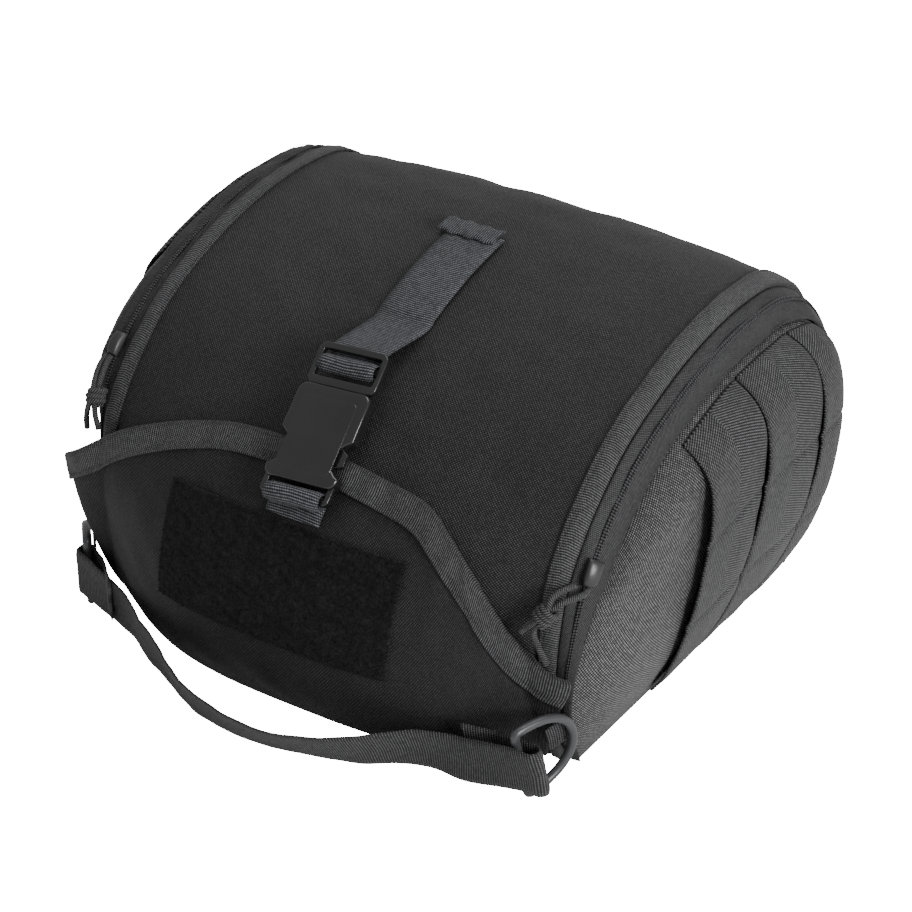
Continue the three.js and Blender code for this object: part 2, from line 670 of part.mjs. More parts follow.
function roundedRect(x0, y0, x1, y1, radius, target = new THREE.Shape()) {
  target.moveTo(x0 + radius, y0);
  target.lineTo(x1 - radius, y0);
  target.absarc(x1 - radius, y0 + radius, radius, -Math.PI / 2, 0);
  target.lineTo(x1, y1 - radius);
  target.absarc(x1 - radius, y1 - radius, radius, 0, Math.PI / 2);
  target.lineTo(x0 + radius, y1);
  target.absarc(x0 + radius, y1 - radius, radius, Math.PI / 2, Math.PI);
  target.lineTo(x0, y0 + radius);
  target.absarc(x0 + radius, y0 + radius, radius, Math.PI, Math.PI * 1.5);
  return target;
}
function plate(shape, height, middle = 0) {
  const flat = { depth: height, bevelEnabled: false, curveSegments: 2 };
  const geometry = new THREE.ExtrudeGeometry(shape, flat);
  return geometry.translate(0, 0, middle - height / 2);
}
function softPlate(shape, height, bevel) {
  const geometry = new THREE.ExtrudeGeometry(shape, {
    depth: height - bevel * 2, bevelEnabled: true, bevelThickness: bevel,
    bevelSize: bevel, bevelOffset: -bevel, bevelSegments: 1, curveSegments: 2,
  });
  return geometry.translate(0, 0, -height / 2 + bevel);
}
const slot_half = webbing_width / 2 + gap * 2;

function prongShape(side) {
  const root = socket_top + frame_inset;
  const tip = socket_low + prong_reach;
  const inner = side * buckle_width * prong_shares.inner;
  const outer = side * buckle_width * prong_shares.outer;
  const catch_x = side * buckle_width * prong_shares.catch;
  const shape = new THREE.Shape();
  shape.moveTo(inner, root);
  shape.lineTo(inner, tip + prong_tip.rise);
  shape.lineTo(inner + side * prong_tip.width, tip);
  shape.lineTo(catch_x, tip + catch_slope);
  shape.lineTo(catch_x, tip + prong_reach);
  shape.lineTo(outer, tip + catch_length);
  shape.lineTo(outer, root);
  shape.closePath();
  return shape;
}

function buildBuckle() {
  const half = buckle_width / 2;
  const frame_half = half - frame_inset;
  const bevel = Math.min(frame_bevel, (frame_half - slot_half) / 3);
  const corners = buckle_corners;
  const ladder = roundedRect(-frame_half, socket_top + gap, frame_half, buckle_length / 2, corners.frame);
  const slot = (low) => (
    roundedRect(-slot_half, low, slot_half, low + slot_gap, corners.slot, new THREE.Path()));
  ladder.holes.push(slot(second_bar + bar / 2), slot(second_bar - bar / 2 - slot_gap));
  const tongue_wall = buckle_wall - socket_wall * 2;
  let prong = toSolid(softPlate(ladder, frame_wall, bevel));
  const guide = roundedRect(-bar, socket_low + catch_length, bar, socket_top + frame_inset, corners.guide);
  for (const shape of [guide, prongShape(-1), prongShape(1)]) {
    prong = prong.add(toSolid(plate(shape, tongue_wall - gap * 3)));
  }
  const body = roundedRect(-half, socket_low - frame_inset, half, socket_top, corners.socket);
  let socket = toSolid(softPlate(body, buckle_wall, socket_bevel));
  const hollow = half - socket_wall;
  const mouth = [socket_low + mouth_wall, socket_top + mouth_wall];
  const cavity = roundedRect(-hollow, mouth[0], hollow, mouth[1], corners.cavity);
  socket = socket.subtract(toSolid(plate(cavity, tongue_wall)));
  const rows = [socket_low + window_low, socket_low + window_high];
  for (const [left, right] of [[-half - bar, window_depth - half], [half - window_depth, half + bar]]) {
    const window = roundedRect(left, rows[0], right, rows[1], corners.window);
    socket = socket.subtract(toSolid(plate(window, tongue_wall)));
  }
  const foot = roundedRect(-frame_half, low_bar - bar / 2, frame_half, socket_low + bar, corners.foot);
  foot.holes.push(slot(low_bar + bar / 2));
  socket = socket.add(toSolid(softPlate(foot, frame_wall, bevel)));
  for (const [name, solid] of [["buckle_prong", prong], ["buckle_socket", socket]]) {
    const mesh = add(name, fromSolid(solid), "buckle_plastic");
    mesh.applyMatrix4(buckle_frame);
  }
}

// Closure straps: each lies on what it is sewn to and wraps a bar of the buckle
const strap_tab_along = 0.592;
const strap_sewn_lift = 0.6;
const wrap_radius = Math.hypot(bar, frame_wall) / 2 + gap * 2 + webbing_wall / 2;

// Steps round a bar of the buckle, by degrees from the up-slope side over the outward side
const buckle_across = vec(1, 0, 0).transformDirection(buckle_frame);
const inBuckle = (y, z) => ({ point: vec(0, y, z).applyMatrix4(buckle_frame), across: buckle_across });
const onSkin = (point) => ({ point, across: vec(1, 0, 0) });

function wrapSteps(bar_y, turns) {
  return turns.map((degrees) => {
    const angle = radians(degrees);
    return inBuckle(bar_y + wrap_radius * Math.cos(angle), wrap_radius * Math.sin(angle));
  });
}
function layPath(steps) {
  const last = steps.length - 1;
  return steps.map(({ point, across }, i) => {
    const [before, after] = [steps[Math.max(i - 1, 0)], steps[Math.min(i + 1, last)]];
    const run = after.point.clone().sub(before.point);
    return { point, across, normal: vec(0, 0, 0).crossVectors(across, run).normalize() };
  });
}

function buildClosureStrap() {
  const lie_alongs = [strap_tab_along, 0.565, 0.54, 0.515, 0.49, 0.465, 0.445];
  const lie = lie_alongs.map((along) => onSkin(skinPoint(along, 0, strap_sewn_lift + webbing_wall / 2)));
  const under = -frame_wall / 2 - gap * 3 - webbing_wall / 2;
  const bridge = [inBuckle(top_bar + bar, under), inBuckle(top_bar - bar / 2, under)];
  const path = [...lie, ...bridge, ...wrapSteps(second_bar, [-25, 30, 80, 130, 180, 220])];
  add("closure_strap", ribbon(layPath(path), webbing_width, webbing_wall), "webbing");
}

function buildLowerStrap() {
  const lie_alongs = [patch_high + 0.005, 0.24, 0.248];
  const lie = lie_alongs.map((along) => onSkin(onFlap(along, 0, gap * 2 + webbing_wall / 2)));
  const path = [...lie, ...wrapSteps(low_bar, [215, 180, 130, 80, 30, -20, -50])];
  add("closure_strap_lower", ribbon(layPath(path), webbing_width, webbing_wall), "webbing");
}

// A closed tube round a loop of points, with a fixed side direction
function loopTube(points, radius, facets, flat) {
  const count = points.length;
  const rings = points.map((point, i) => {
    const run = points[(i + 1) % count].clone().sub(points[(i + count - 1) % count]).normalize();
    const out = vec(0, 0, 0).crossVectors(run, flat).normalize();
    return spread(0, Math.PI * 2, facets).slice(0, -1).map((angle) => {
      const vertex = point.clone().addScaledVector(out, radius * Math.cos(angle));
      return vertex.addScaledVector(flat, radius * Math.sin(angle));
    });
  });
  const vertices = rings.flat();
  const faces = [];
  for (let i = 0; i < count; i += 1) {
    const next = (i + 1) % count;
    for (let j = 0; j < facets; j += 1) {
      const a = i * facets + j;
      const b = next * facets + j;
      const c = next * facets + ((j + 1) % facets);
      const d = i * facets + ((j + 1) % facets);
      faces.push([a, b, c], [a, c, d]);
    }
  }
  return closedBody(vertices, faces);
}

// D-rings: the straight bar holds the handle, the round side points to the bag's corner
const front_corner = skinPoint(arch[2], seam_across, seam_lift).y;

function ringFrame(side_name, side) {
  const place = ring_places[side_name];
  const x = side * (panel_half_width + place.aside);
  return new THREE.Matrix4()
    .makeTranslation(x, front_corner - place.ahead, place.z)
    .multiply(new THREE.Matrix4().makeRotationZ(radians(90 - side * place.turn)))
    .multiply(new THREE.Matrix4().makeRotationY(radians(-place.lean)));
}
function buildRing(side_name, side) {
  const half = (ring_height - ring_wire) / 2;
  const reach = ring_reach - ring_wire;
  const straight = spread(-ring_straight, ring_straight, 4).map((share) => vec(0, 0, share * half));
  const round = spread(ring_arc.first, ring_arc.last, ring_arc.steps).map((degrees) => {
    const angle = radians(90 - degrees);
    return vec(reach * Math.cos(angle) ** ring_roundness, 0, half * Math.sin(angle));
  });
  const corner = (height) => vec(reach * ring_corner_step, 0, height);
  const points = [...straight, corner(half), ...round, corner(-half)];
  const geometry = loopTube(points, ring_wire / 2, 7, vec(0, 1, 0));
  const mesh = add(`d_ring_${side_name}`, geometry, "ring_plastic");
  mesh.applyMatrix4(ringFrame(side_name, side));
}

// Ring tab: a short piece of webbing between the ring's round side and the bag's corner
function buildRingTab(side_name, side) {
  const frame = ringFrame(side_name, side);
  const aside = side * (ring_wire / 2 + gap * 2 + webbing_wall / 2);
  const up = vec(0, 0, 1).transformDirection(frame);
  const path = spread(tab_start, tab_end, 4).map((x) => (
    { point: vec(x, aside, 0).applyMatrix4(frame), across: up }));
  add(`ring_tab_${side_name}`, ribbon(layPath(path), tab_width, webbing_wall), "webbing");
}

// Handle strap: webbing that wraps each ring's bar and lies in front of the bag
const tail_bend = { along: 0.4, out: 0.8 };

function handleEnd(side_name, side) {
  const radius = ring_wire / 2 + gap * 3 + handle_wall / 2;
  const { loop, heading } = ring_places[side_name];
  const frame = ringFrame(side_name, side);
  const up = vec(0, 0, 1).transformDirection(frame);
  const centre = vec(0, 0, 0).applyMatrix4(frame);
  const inward_way = vec(-side * Math.cos(radians(heading)), -Math.sin(radians(heading)), 0);
  const back_way = vec(-side * Math.sin(radians(heading)), Math.cos(radians(heading)), 0);
  const at = (inward, back) => (
    centre.clone().addScaledVector(inward_way, inward).addScaledVector(back_way, back));
  const turn = spread(90, -90, 6).map((degrees) => {
    const angle = radians(degrees);
    return at(-loop - radius * Math.cos(angle), radius * Math.sin(angle));
  });
  const tail = [at(handle_tail, -gap), at(handle_tail * tail_bend.along, radius * tail_bend.out)];
  return [...tail, ...turn, at(0, -radius)].map((point) => ({ point, across: up }));
}

function buildHandle() {
  const bars = sides.map(([side_name, side]) => vec(0, 0, 0).applyMatrix4(ringFrame(side_name, side)));
  const middle = handle_rows.map((row) => {
    const tilt = radians(row.tilt);
    const point = bars[0].clone().lerp(bars[1], row.across);
    point.y -= row.out * handle_bow;
    point.z = row.rise * handle_width + (Math.sin(tilt) * handle_width) / 2 + handle_wall;
    return { point, across: vec(0, Math.cos(tilt), Math.sin(tilt)) };
  });
  const steps = [...handleEnd("left", -1), ...middle, ...handleEnd("right", 1).reverse()];
  add("handle_strap", ribbon(layPath(steps), handle_width, handle_wall), "webbing");
}

buildMainPanel();
buildBasePanel();
for (const [side_name, side] of sides) {
  buildEndPanel(`end_panel_${side_name}`, side);
  band_starts.forEach((start, i) => buildSideBand(`side_band_${side_name}_${i + 1}`, side, start));
  buildEdgeBinding(`edge_binding_${side_name}`, side);
  buildZipper(side_name, side);
  buildSlider(side_name, side);
  buildPull(side_name, side);
  buildRing(side_name, side);
  buildRingTab(side_name, side);
}
buildFlap();
buildFlapBinding();
buildPatch();
buildBuckle();
buildClosureStrap();
buildLowerStrap();
buildHandle();

export default bag;
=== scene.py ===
"""Tactical helmet bag, dressed over its CAD frame. Metres in the scene, millimetres in the tables."""

import math

import bpy
import numpy as np
from mathutils import Matrix, Vector


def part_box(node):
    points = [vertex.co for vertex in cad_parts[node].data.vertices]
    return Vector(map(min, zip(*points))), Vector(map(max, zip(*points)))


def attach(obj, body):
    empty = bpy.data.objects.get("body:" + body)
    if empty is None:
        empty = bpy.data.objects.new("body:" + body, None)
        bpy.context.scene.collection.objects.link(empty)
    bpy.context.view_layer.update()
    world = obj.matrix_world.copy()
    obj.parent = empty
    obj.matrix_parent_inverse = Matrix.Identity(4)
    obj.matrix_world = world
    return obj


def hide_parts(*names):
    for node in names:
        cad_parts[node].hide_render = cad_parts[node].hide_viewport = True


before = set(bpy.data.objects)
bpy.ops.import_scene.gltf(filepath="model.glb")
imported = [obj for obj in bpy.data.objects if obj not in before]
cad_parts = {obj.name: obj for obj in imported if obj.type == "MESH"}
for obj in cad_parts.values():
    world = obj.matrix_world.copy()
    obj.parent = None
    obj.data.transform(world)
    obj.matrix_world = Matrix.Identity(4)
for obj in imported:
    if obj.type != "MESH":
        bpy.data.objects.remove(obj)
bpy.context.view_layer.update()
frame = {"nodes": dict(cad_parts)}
nodes = frame["nodes"]
MM = 0.001
SIDES = (("left", -1), ("right", 1))

# Camera: the photograph's, fitted to the bag's corners
CAMERA = {"lens": 102.6, "azimuth": 33.33, "elevation": 30.08, "distance": 1336.7, "target": (0.66, 0, 73.06)}


def make_camera():
    data = bpy.data.cameras.new("camera")
    data.lens = CAMERA["lens"]
    data.sensor_width = 36
    data.clip_end = 50
    camera = bpy.data.objects.new("camera", data)
    bpy.context.scene.collection.objects.link(camera)
    azimuth, elevation = math.radians(CAMERA["azimuth"]), math.radians(CAMERA["elevation"])
    back = Vector((math.sin(azimuth) * math.cos(elevation), -math.cos(azimuth) * math.cos(elevation), math.sin(elevation)))
    camera.location = (Vector(CAMERA["target"]) + back * CAMERA["distance"]) * MM
    camera.rotation_euler = back.to_track_quat("Z", "Y").to_euler()
    bpy.context.scene.camera = camera


make_camera()

# The skin, as the CAD source has it: sections along the arch from the front foot to the back foot
BAG_DEPTH, BAG_HEIGHT, HALF_WIDTH, BOW_POWER, TOP_LEAN = 218, 192, 125, 3, 0.013
SHOULDER_REACH, SHOULDER_DROP, SHOULDER_ARC, SHOULDER_TURN = 27, 25, 40, 1.45
LEFT_FLARE = {"reach": 1.22, "drop": 0.05, "turn": 0.36}
SKIN_ROWS = np.array([
    # end depth, end height, middle depth, middle height, drop, reach, flare of the left shoulder
    [-0.486, 0, -0.638, 0, 0.1, 0.6, 0],
    [-0.532, 0.115, -0.691, 0.115, 0.12, 0.62, 0],
    [-0.55, 0.26, -0.702, 0.26, 0.2, 0.66, 0],
    [-0.55, 0.406, -0.669, 0.406, 0.6, 0.72, 0],
    [-0.528, 0.542, -0.606, 0.542, 0.9, 0.78, 0.5],
    [-0.459, 0.661, -0.5, 0.672, 0.95, 0.8, 1],
    [-0.367, 0.76, -0.39, 0.776, 0.95, 0.8, 1],
    [-0.28, 0.826, -0.284, 0.844, 0.95, 0.8, 1],
    [-0.17, 0.88, -0.17, 0.901, 0.95, 0.8, 1],
    [-0.046, 0.924, -0.046, 0.95, 0.95, 0.8, 1],
    [0.092, 0.953, 0.092, 0.983, 0.95, 0.8, 1],
    [0.229, 0.961, 0.229, 1, 0.95, 0.8, 1],
    [0.367, 0.944, 0.367, 0.983, 0.85, 0.86, 1],
    [0.472, 0.87, 0.482, 0.9, 0.6, 1.06, 1],
    [0.529, 0.72, 0.541, 0.74, 0.45, 1.3, 0.8],
    [0.542, 0.495, 0.564, 0.495, 0.4, 1.32, 0.5],
    [0.53, 0.234, 0.553, 0.234, 0.35, 1.08, 0.3],
    [0.5, 0, 0.509, 0, 0.1, 0.62, 0],
])
FLAP_ROWS = np.array([
    # across as a share of the flap's half width, top as a share of the arch
    [-1, 0.19], [-0.8, 0.233], [-0.63, 0.26], [-0.48, 0.276], [-0.3, 0.287], [0, 0.289], [0.32, 0.28],
    [0.44, 0.272], [0.54, 0.253], [0.64, 0.228], [0.72, 0.199], [0.79, 0.17], [0.88, 0.143], [1, 0.133],
])
BAND_ROWS = np.array([
    # edges of the side bands: shares of the end panel's bottom seam and of its top side
    [0, 0], [0.15, 0.18], [0.31, 0.36], [0.41, 0.475], [0.51, 0.59],
    [0.63, 0.705], [0.745, 0.82], [0.865, 0.91], [0.975, 0.955], [1, 1],
])
BINDING_START, BINDING_END, TAPE_END, SEAM_GAP = 126, 139, 165, 1
END_FRONT, END_BACK, END_BULGE, END_FULLNESS = 9 / 32, 25 / 32, 18, {"across": 6, "low": 2, "high": 6}
SEAM_LIFT = -3.5


def spline(rows, t):
    """Uniform Catmull-Rom through rows, t from 0 to 1, as the CAD source's curves are."""
    t = np.clip(np.asarray(t, float), 0, 1) * (len(rows) - 1)
    i = np.minimum(t.astype(int), len(rows) - 2)
    w = (t - i)[..., None]
    padded = np.vstack([2 * rows[0] - rows[1], rows, 2 * rows[-1] - rows[-2]])
    a, b, c, d = padded[i], padded[i + 1], padded[i + 2], padded[i + 3]
    first, second = (c - a) / 2, (d - b) / 2
    return b + first * w + (3 * (c - b) - 2 * first - second) * w**2 + (2 * (b - c) + first + second) * w**3


def skin(along, across, lift=0.0):
    """A point of the bag's skin in millimetres, with arrays broadcast together."""
    along, across, lift = np.broadcast_arrays(*(np.asarray(v, float) for v in (along, across, lift)))
    side, inner = np.sign(across), np.minimum(np.abs(across), HALF_WIDTH)
    shoulder = spline(SKIN_ROWS, along)[..., 4:7]
    flare = np.where(side < 0, shoulder[..., 2], 0)
    gain = {key: 1 + (value - 1) * flare for key, value in LEFT_FLARE.items()}
    full_turn = SHOULDER_TURN * gain["turn"]
    turn = (np.abs(across) - inner) / SHOULDER_ARC * full_turn
    share = (inner / HALF_WIDTH) ** BOW_POWER

    def section(t):
        row = spline(SKIN_ROWS, t)
        return row[..., 2:4] * (1 - share[..., None]) + row[..., 0:2] * share[..., None]

    here, step = section(along), 0.002
    tangent = section(np.minimum(along + step, 1)) - section(np.maximum(along - step, 0))
    here, tangent = here * (BAG_DEPTH, BAG_HEIGHT), tangent * (BAG_DEPTH, BAG_HEIGHT)
    tangent /= np.linalg.norm(tangent, axis=-1, keepdims=True)
    fall = shoulder[..., 0] * SHOULDER_DROP * gain["drop"] / (1 - np.cos(full_turn))
    inset = fall * (1 - np.cos(turn)) - lift * np.cos(turn)
    reach = shoulder[..., 1] * SHOULDER_REACH * gain["reach"] / np.sin(full_turn)
    x = side * (inner + (reach + lift) * np.sin(turn))
    y = here[..., 0] + tangent[..., 1] * inset
    z = (here[..., 1] - tangent[..., 0] * inset) * (1 - TOP_LEAN * x / HALF_WIDTH)
    z = np.where((along <= 0) | (along >= 1), 0, np.maximum(z, 0))
    return np.stack([x, y, z], -1)


def seam_point(side, along):
    return skin(along, side * (TAPE_END + SEAM_GAP), SEAM_LIFT)


def end_point(side, bottom, top, rise, lift=0.0):
    """A point of an end panel: bottom and top are shares along its lower and upper sides, rise is from 0 to 1."""
    bottom, top, rise = np.broadcast_arrays(*(np.asarray(v, float) for v in (bottom, top, rise)))
    u = bottom + (top - bottom) * rise
    uu, vv = u[..., None], rise[..., None]
    corner = {key: seam_point(side, at) for key, at in (("ff", 0), ("bf", 1), ("ft", END_FRONT), ("bt", END_BACK))}
    low = corner["ff"] + (corner["bf"] - corner["ff"]) * bottom[..., None]
    point = seam_point(side, rise * END_FRONT) * (1 - uu) + seam_point(side, 1 - rise * (1 - END_BACK)) * uu
    point = point + low * (1 - vv) + seam_point(side, END_FRONT + top * (END_BACK - END_FRONT)) * vv
    point = point - corner["ff"] * (1 - uu) * (1 - vv) - corner["bf"] * uu * (1 - vv)
    point = point - corner["ft"] * (1 - uu) * vv - corner["bt"] * uu * vv
    power = np.where(rise < 0.5, END_FULLNESS["low"], END_FULLNESS["high"])
    fullness = (1 - (2 * u - 1) ** END_FULLNESS["across"]) * (1 - np.abs(2 * rise - 1) ** power)
    point[..., 0] += side * (END_BULGE * fullness + lift)
    point[..., 2] = np.where(rise <= 0, 0, point[..., 2])
    return point


# Flap: an apron over the front
FLAP_FOOT_HALF, FLAP_CORNER_HALF, FLAP_FOOT_ALONG = 125.5, 148, 0.012
FLAP_SEAT, FLAP_EDGE_SEAT, FLAP_STAND, FLAP_LEFT_STAND, FLAP_RIGHT_STAND, FLAP_WALL = 1.9, 1.2, 1.9, 12, 3, 2


def flap_top(share):
    t = np.linspace(0, 1, 400)
    row = spline(FLAP_ROWS, t)
    return np.interp(share, row[:, 0], row[:, 1])


def flap_lift(share, up):
    belly = FLAP_STAND * np.sin(np.pi * np.clip(up, 0, 1) ** 0.8) * (1 - share**4)
    stand = np.where(share < 0, FLAP_LEFT_STAND, FLAP_RIGHT_STAND)
    corner = stand * np.maximum(0, (np.abs(share) - 0.55) / 0.45) ** 1.5 * np.clip(up, 0, 2) ** 1.5
    return FLAP_SEAT + FLAP_EDGE_SEAT * up + belly + corner


def flap(share, up, lift=0.0):
    share, up = np.broadcast_arrays(np.asarray(share, float), np.asarray(up, float))
    half = FLAP_FOOT_HALF + (FLAP_CORNER_HALF - FLAP_FOOT_HALF) * up
    along = FLAP_FOOT_ALONG + up * (flap_top(share) - FLAP_FOOT_ALONG)
    return skin(along, share * half, flap_lift(share, up) + lift)


def on_flap(along, across, lift):
    """A point on the flap's outer face at a given place of the skin."""
    top = flap_top(across / FLAP_CORNER_HALF)
    up = np.clip((along - FLAP_FOOT_ALONG) / (top - FLAP_FOOT_ALONG), 0, 1)
    half = FLAP_FOOT_HALF + (FLAP_CORNER_HALF - FLAP_FOOT_HALF) * up
    return skin(along, across, flap_lift(across / half, up) + FLAP_WALL + lift)


# Shared mesh helpers
def ripple(u, v, size, seed, waves=14):
    """A smooth random height field of unit strength over two coordinates, with bumps of about that size."""
    local = np.random.default_rng(seed)
    total = np.zeros(np.broadcast(u, v).shape)
    for _ in range(waves):
        angle, phase = local.uniform(0, 2 * np.pi, 2)
        scale = 2 * np.pi / size * local.uniform(0.5, 1.3)
        total += np.cos((np.cos(angle) * u + np.sin(angle) * v) * scale + phase)
    return total / math.sqrt(waves / 2)


def run_length(points, axis=0):
    """Distance run along one axis of a grid of points."""
    step = np.linalg.norm(np.diff(points, axis=axis), axis=-1)
    first = np.zeros_like(np.take(step, [0], axis=axis))
    return np.concatenate([first, np.cumsum(step, axis=axis)], axis=axis)


def mesh_object(name, points, faces, uv=None, smooth=True):
    mesh = bpy.data.meshes.new(name)
    mesh.from_pydata((np.asarray(points) * MM).tolist(), [], [list(map(int, f)) for f in faces])
    if uv is not None:
        layer = mesh.uv_layers.new(name="UVMap")
        index = np.zeros(len(mesh.loops), int)
        mesh.loops.foreach_get("vertex_index", index)
        layer.data.foreach_set("uv", np.asarray(uv, np.float32)[index].ravel())
    mesh.polygons.foreach_set("use_smooth", [smooth] * len(mesh.polygons))
    mesh.update()
    obj = bpy.data.objects.new(name, mesh)
    bpy.context.scene.collection.objects.link(obj)
    return obj


def grid_faces(rows, columns, start=0, flip=False, loop=False):
    """Quads between neighbouring rows and columns of vertices, the last row joined to the first in a loop."""
    i, j = np.meshgrid(np.arange(rows if loop else rows - 1), np.arange(columns - 1), indexing="ij")
    n = (i + 1) % rows
    quads = np.stack([i * columns + j, n * columns + j, n * columns + j + 1, i * columns + j + 1], -1).reshape(-1, 4) + start
    return quads[:, ::-1] if flip else quads


def shell(name, outer, inner, uv, flip=False):
    """A closed wall between two grids of points, with the outer grid's UVs on both faces."""
    rows, columns = outer.shape[:2]
    count = rows * columns
    faces = [grid_faces(rows, columns, 0, flip), grid_faces(rows, columns, count, not flip)]
    at = np.arange(count).reshape(rows, columns)
    rim = np.concatenate([at[0, :-1], at[:-1, -1], at[-1, :0:-1], at[:0:-1, 0]])
    nxt = np.roll(rim, -1)
    border = np.stack([rim, nxt, nxt + count, rim + count], -1)
    faces.append(border[:, ::-1] if flip else border)
    points = np.concatenate([outer.reshape(-1, 3), inner.reshape(-1, 3)])
    both = np.concatenate([uv.reshape(-1, 2)] * 2)
    return mesh_object(name, points, np.concatenate(faces).tolist(), both)


def face_out(obj):
    """Turns every face of a closed mesh outward."""
    import bmesh
    work = bmesh.new()
    work.from_mesh(obj.data)
    bmesh.ops.recalc_face_normals(work, faces=work.faces)
    work.to_mesh(obj.data)
    work.free()
    return obj


def dress(obj, material, slot, *replaced):
    """Gives a piece its material and body, and hides the CAD nodes that it stands for."""
    obj.data.materials.clear()
    obj.data.materials.append(material)
    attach(obj, "root")
    if replaced:
        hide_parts(*replaced)
    return obj


def tube(name, path, radius, sides=12, closed=False, caps=True):
    """A round tube along points, its frame carried along without twist. radius may be one value a point."""
    path = np.asarray(path, float)
    count = len(path)
    radii = np.broadcast_to(np.asarray(radius, float), (count,))
    if closed:
        tangent = np.roll(path, -1, 0) - np.roll(path, 1, 0)
    else:
        tangent = np.gradient(path, axis=0)
    tangent /= np.linalg.norm(tangent, axis=1, keepdims=True)
    normal = np.cross(tangent[0], (0.3, 0.2, 0.93))
    rings = []
    for k in range(count):
        normal = normal - tangent[k] * normal.dot(tangent[k])
        normal /= np.linalg.norm(normal)
        other = np.cross(tangent[k], normal)
        angle = np.arange(sides) / sides * 2 * np.pi
        rings.append(path[k] + radii[k] * (np.cos(angle)[:, None] * normal + np.sin(angle)[:, None] * other))
    points = np.concatenate(rings)
    faces = []
    for k in range(count if closed else count - 1):
        n = (k + 1) % count
        for j in range(sides):
            faces.append([k * sides + j, k * sides + (j + 1) % sides, n * sides + (j + 1) % sides, n * sides + j])
    if caps and not closed:
        faces.append(list(range(sides))[::-1])
        faces.append([(count - 1) * sides + j for j in range(sides)])
    run = run_length(path)
    uv = np.stack([np.repeat(run, sides), np.tile(np.arange(sides) / sides * 2 * np.pi, count) * np.repeat(radii, sides)], -1)
    return mesh_object(name, points, faces, uv)


# Materials. Weaves read the UVs, which are millimetres of cloth.
class Graph:
    """Short words for building a node tree."""

    def __init__(self, name):
        self.material = bpy.data.materials.new(name)
        self.material.use_nodes = True
        self.tree = self.material.node_tree
        self.shader = self.tree.nodes["Principled BSDF"]

    def node(self, kind, **values):
        made = self.tree.nodes.new(kind)
        for key, value in values.items():
            if key in made.inputs:
                made.inputs[key].default_value = value
            else:
                setattr(made, key, value)
        return made

    def link(self, source, target):
        self.tree.links.new(source, target)

    def math(self, operation, a, b=None, c=None):
        made = self.node("ShaderNodeMath", operation=operation)
        for socket, value in zip(made.inputs, (a, b, c)):
            if value is None:
                continue
            if isinstance(value, (int, float)):
                socket.default_value = value
            else:
                self.link(value, socket)
        return made.outputs[0]

    def cloth_coordinates(self):
        uv = self.node("ShaderNodeUVMap", uv_map="UVMap")
        split = self.node("ShaderNodeSeparateXYZ")
        self.link(uv.outputs[0], split.inputs[0])
        return split.outputs[0], split.outputs[1]

    def noise(self, scale, detail=3, source="Object", roughness=0.5):
        where = self.node("ShaderNodeTexCoord")
        made = self.node("ShaderNodeTexNoise", Scale=scale, Detail=detail, Roughness=roughness)
        self.link(where.outputs[source], made.inputs["Vector"])
        return made.outputs[0]

    def random_cell(self, x, y):
        """A random value for each unit cell of two coordinates."""
        join = self.node("ShaderNodeCombineXYZ")
        self.link(self.math("FLOOR", x), join.inputs[0])
        self.link(self.math("FLOOR", y), join.inputs[1])
        made = self.node("ShaderNodeTexWhiteNoise", noise_dimensions="2D")
        self.link(join.outputs[0], made.inputs["Vector"])
        return made.outputs["Value"]

    def remap(self, value, low, high, to_low, to_high):
        made = self.node("ShaderNodeMapRange")
        self.link(value, made.inputs[0])
        for socket, number in zip(made.inputs[1:5], (low, high, to_low, to_high)):
            socket.default_value = number
        return made.outputs[0]

    def tint(self, value, dark, light):
        """The base colour, between two greys of the given colour by a value from 0 to 1."""
        mix = self.node("ShaderNodeMix", data_type="RGBA", clamp_factor=True)
        self.link(value, mix.inputs[0])
        mix.inputs[6].default_value = (*dark, 1)
        mix.inputs[7].default_value = (*light, 1)
        self.link(mix.outputs[2], self.shader.inputs["Base Color"])

    def bump(self, height, distance, strength=1.0):
        made = self.node("ShaderNodeBump", Distance=distance, Strength=strength)
        self.link(height, made.inputs["Height"])
        self.link(made.outputs[0], self.shader.inputs["Normal"])
        return made

    def finish(self, roughness, specular=0.5, sheen=0.0, coat=0.0, metallic=0.0):
        self.shader.inputs["Roughness"].default_value = roughness
        self.shader.inputs["Specular IOR Level"].default_value = specular
        self.shader.inputs["Sheen Weight"].default_value = sheen
        self.shader.inputs["Sheen Roughness"].default_value = 0.5
        self.shader.inputs["Coat Weight"].default_value = coat
        self.shader.inputs["Metallic"].default_value = metallic
        return self.material


def woven(name, pitch, dark, light, roughness=0.62, specular=0.22, relief=0.00022, sheen=0.04):
    """Plain weave: bumps of thread on a chequer, with painted highlights on the thread tops, each a little different as
    a painted glint, and slow stains of lighter cloth.
    """
    g = Graph(name)
    x, y = g.cloth_coordinates()
    x, y = g.math("DIVIDE", x, pitch), g.math("DIVIDE", y, pitch)
    wave_x = g.math("SINE", g.math("MULTIPLY", x, math.pi))
    wave_y = g.math("SINE", g.math("MULTIPLY", y, math.pi))
    height = g.math("MULTIPLY_ADD", g.math("MULTIPLY", wave_x, wave_y), 0.5, 0.5)
    thread = g.random_cell(x, y)
    # painted highlight: the thread tops are made lighter in the base colour, with a random painted glint for each
    # thread
    painted_highlight = g.math("MULTIPLY", g.math("POWER", height, 2.6), g.remap(thread, 0, 1, 0.6, 1.5))
    slow = g.remap(g.noise(9, 4), 0.3, 0.7, 0.72, 1.15)
    g.tint(g.math("MULTIPLY", painted_highlight, slow), dark, light)
    fuzz = g.noise(900, 2)
    g.bump(g.math("MULTIPLY_ADD", fuzz, 0.25, height), relief)
    return g.finish(roughness, specular, sheen)


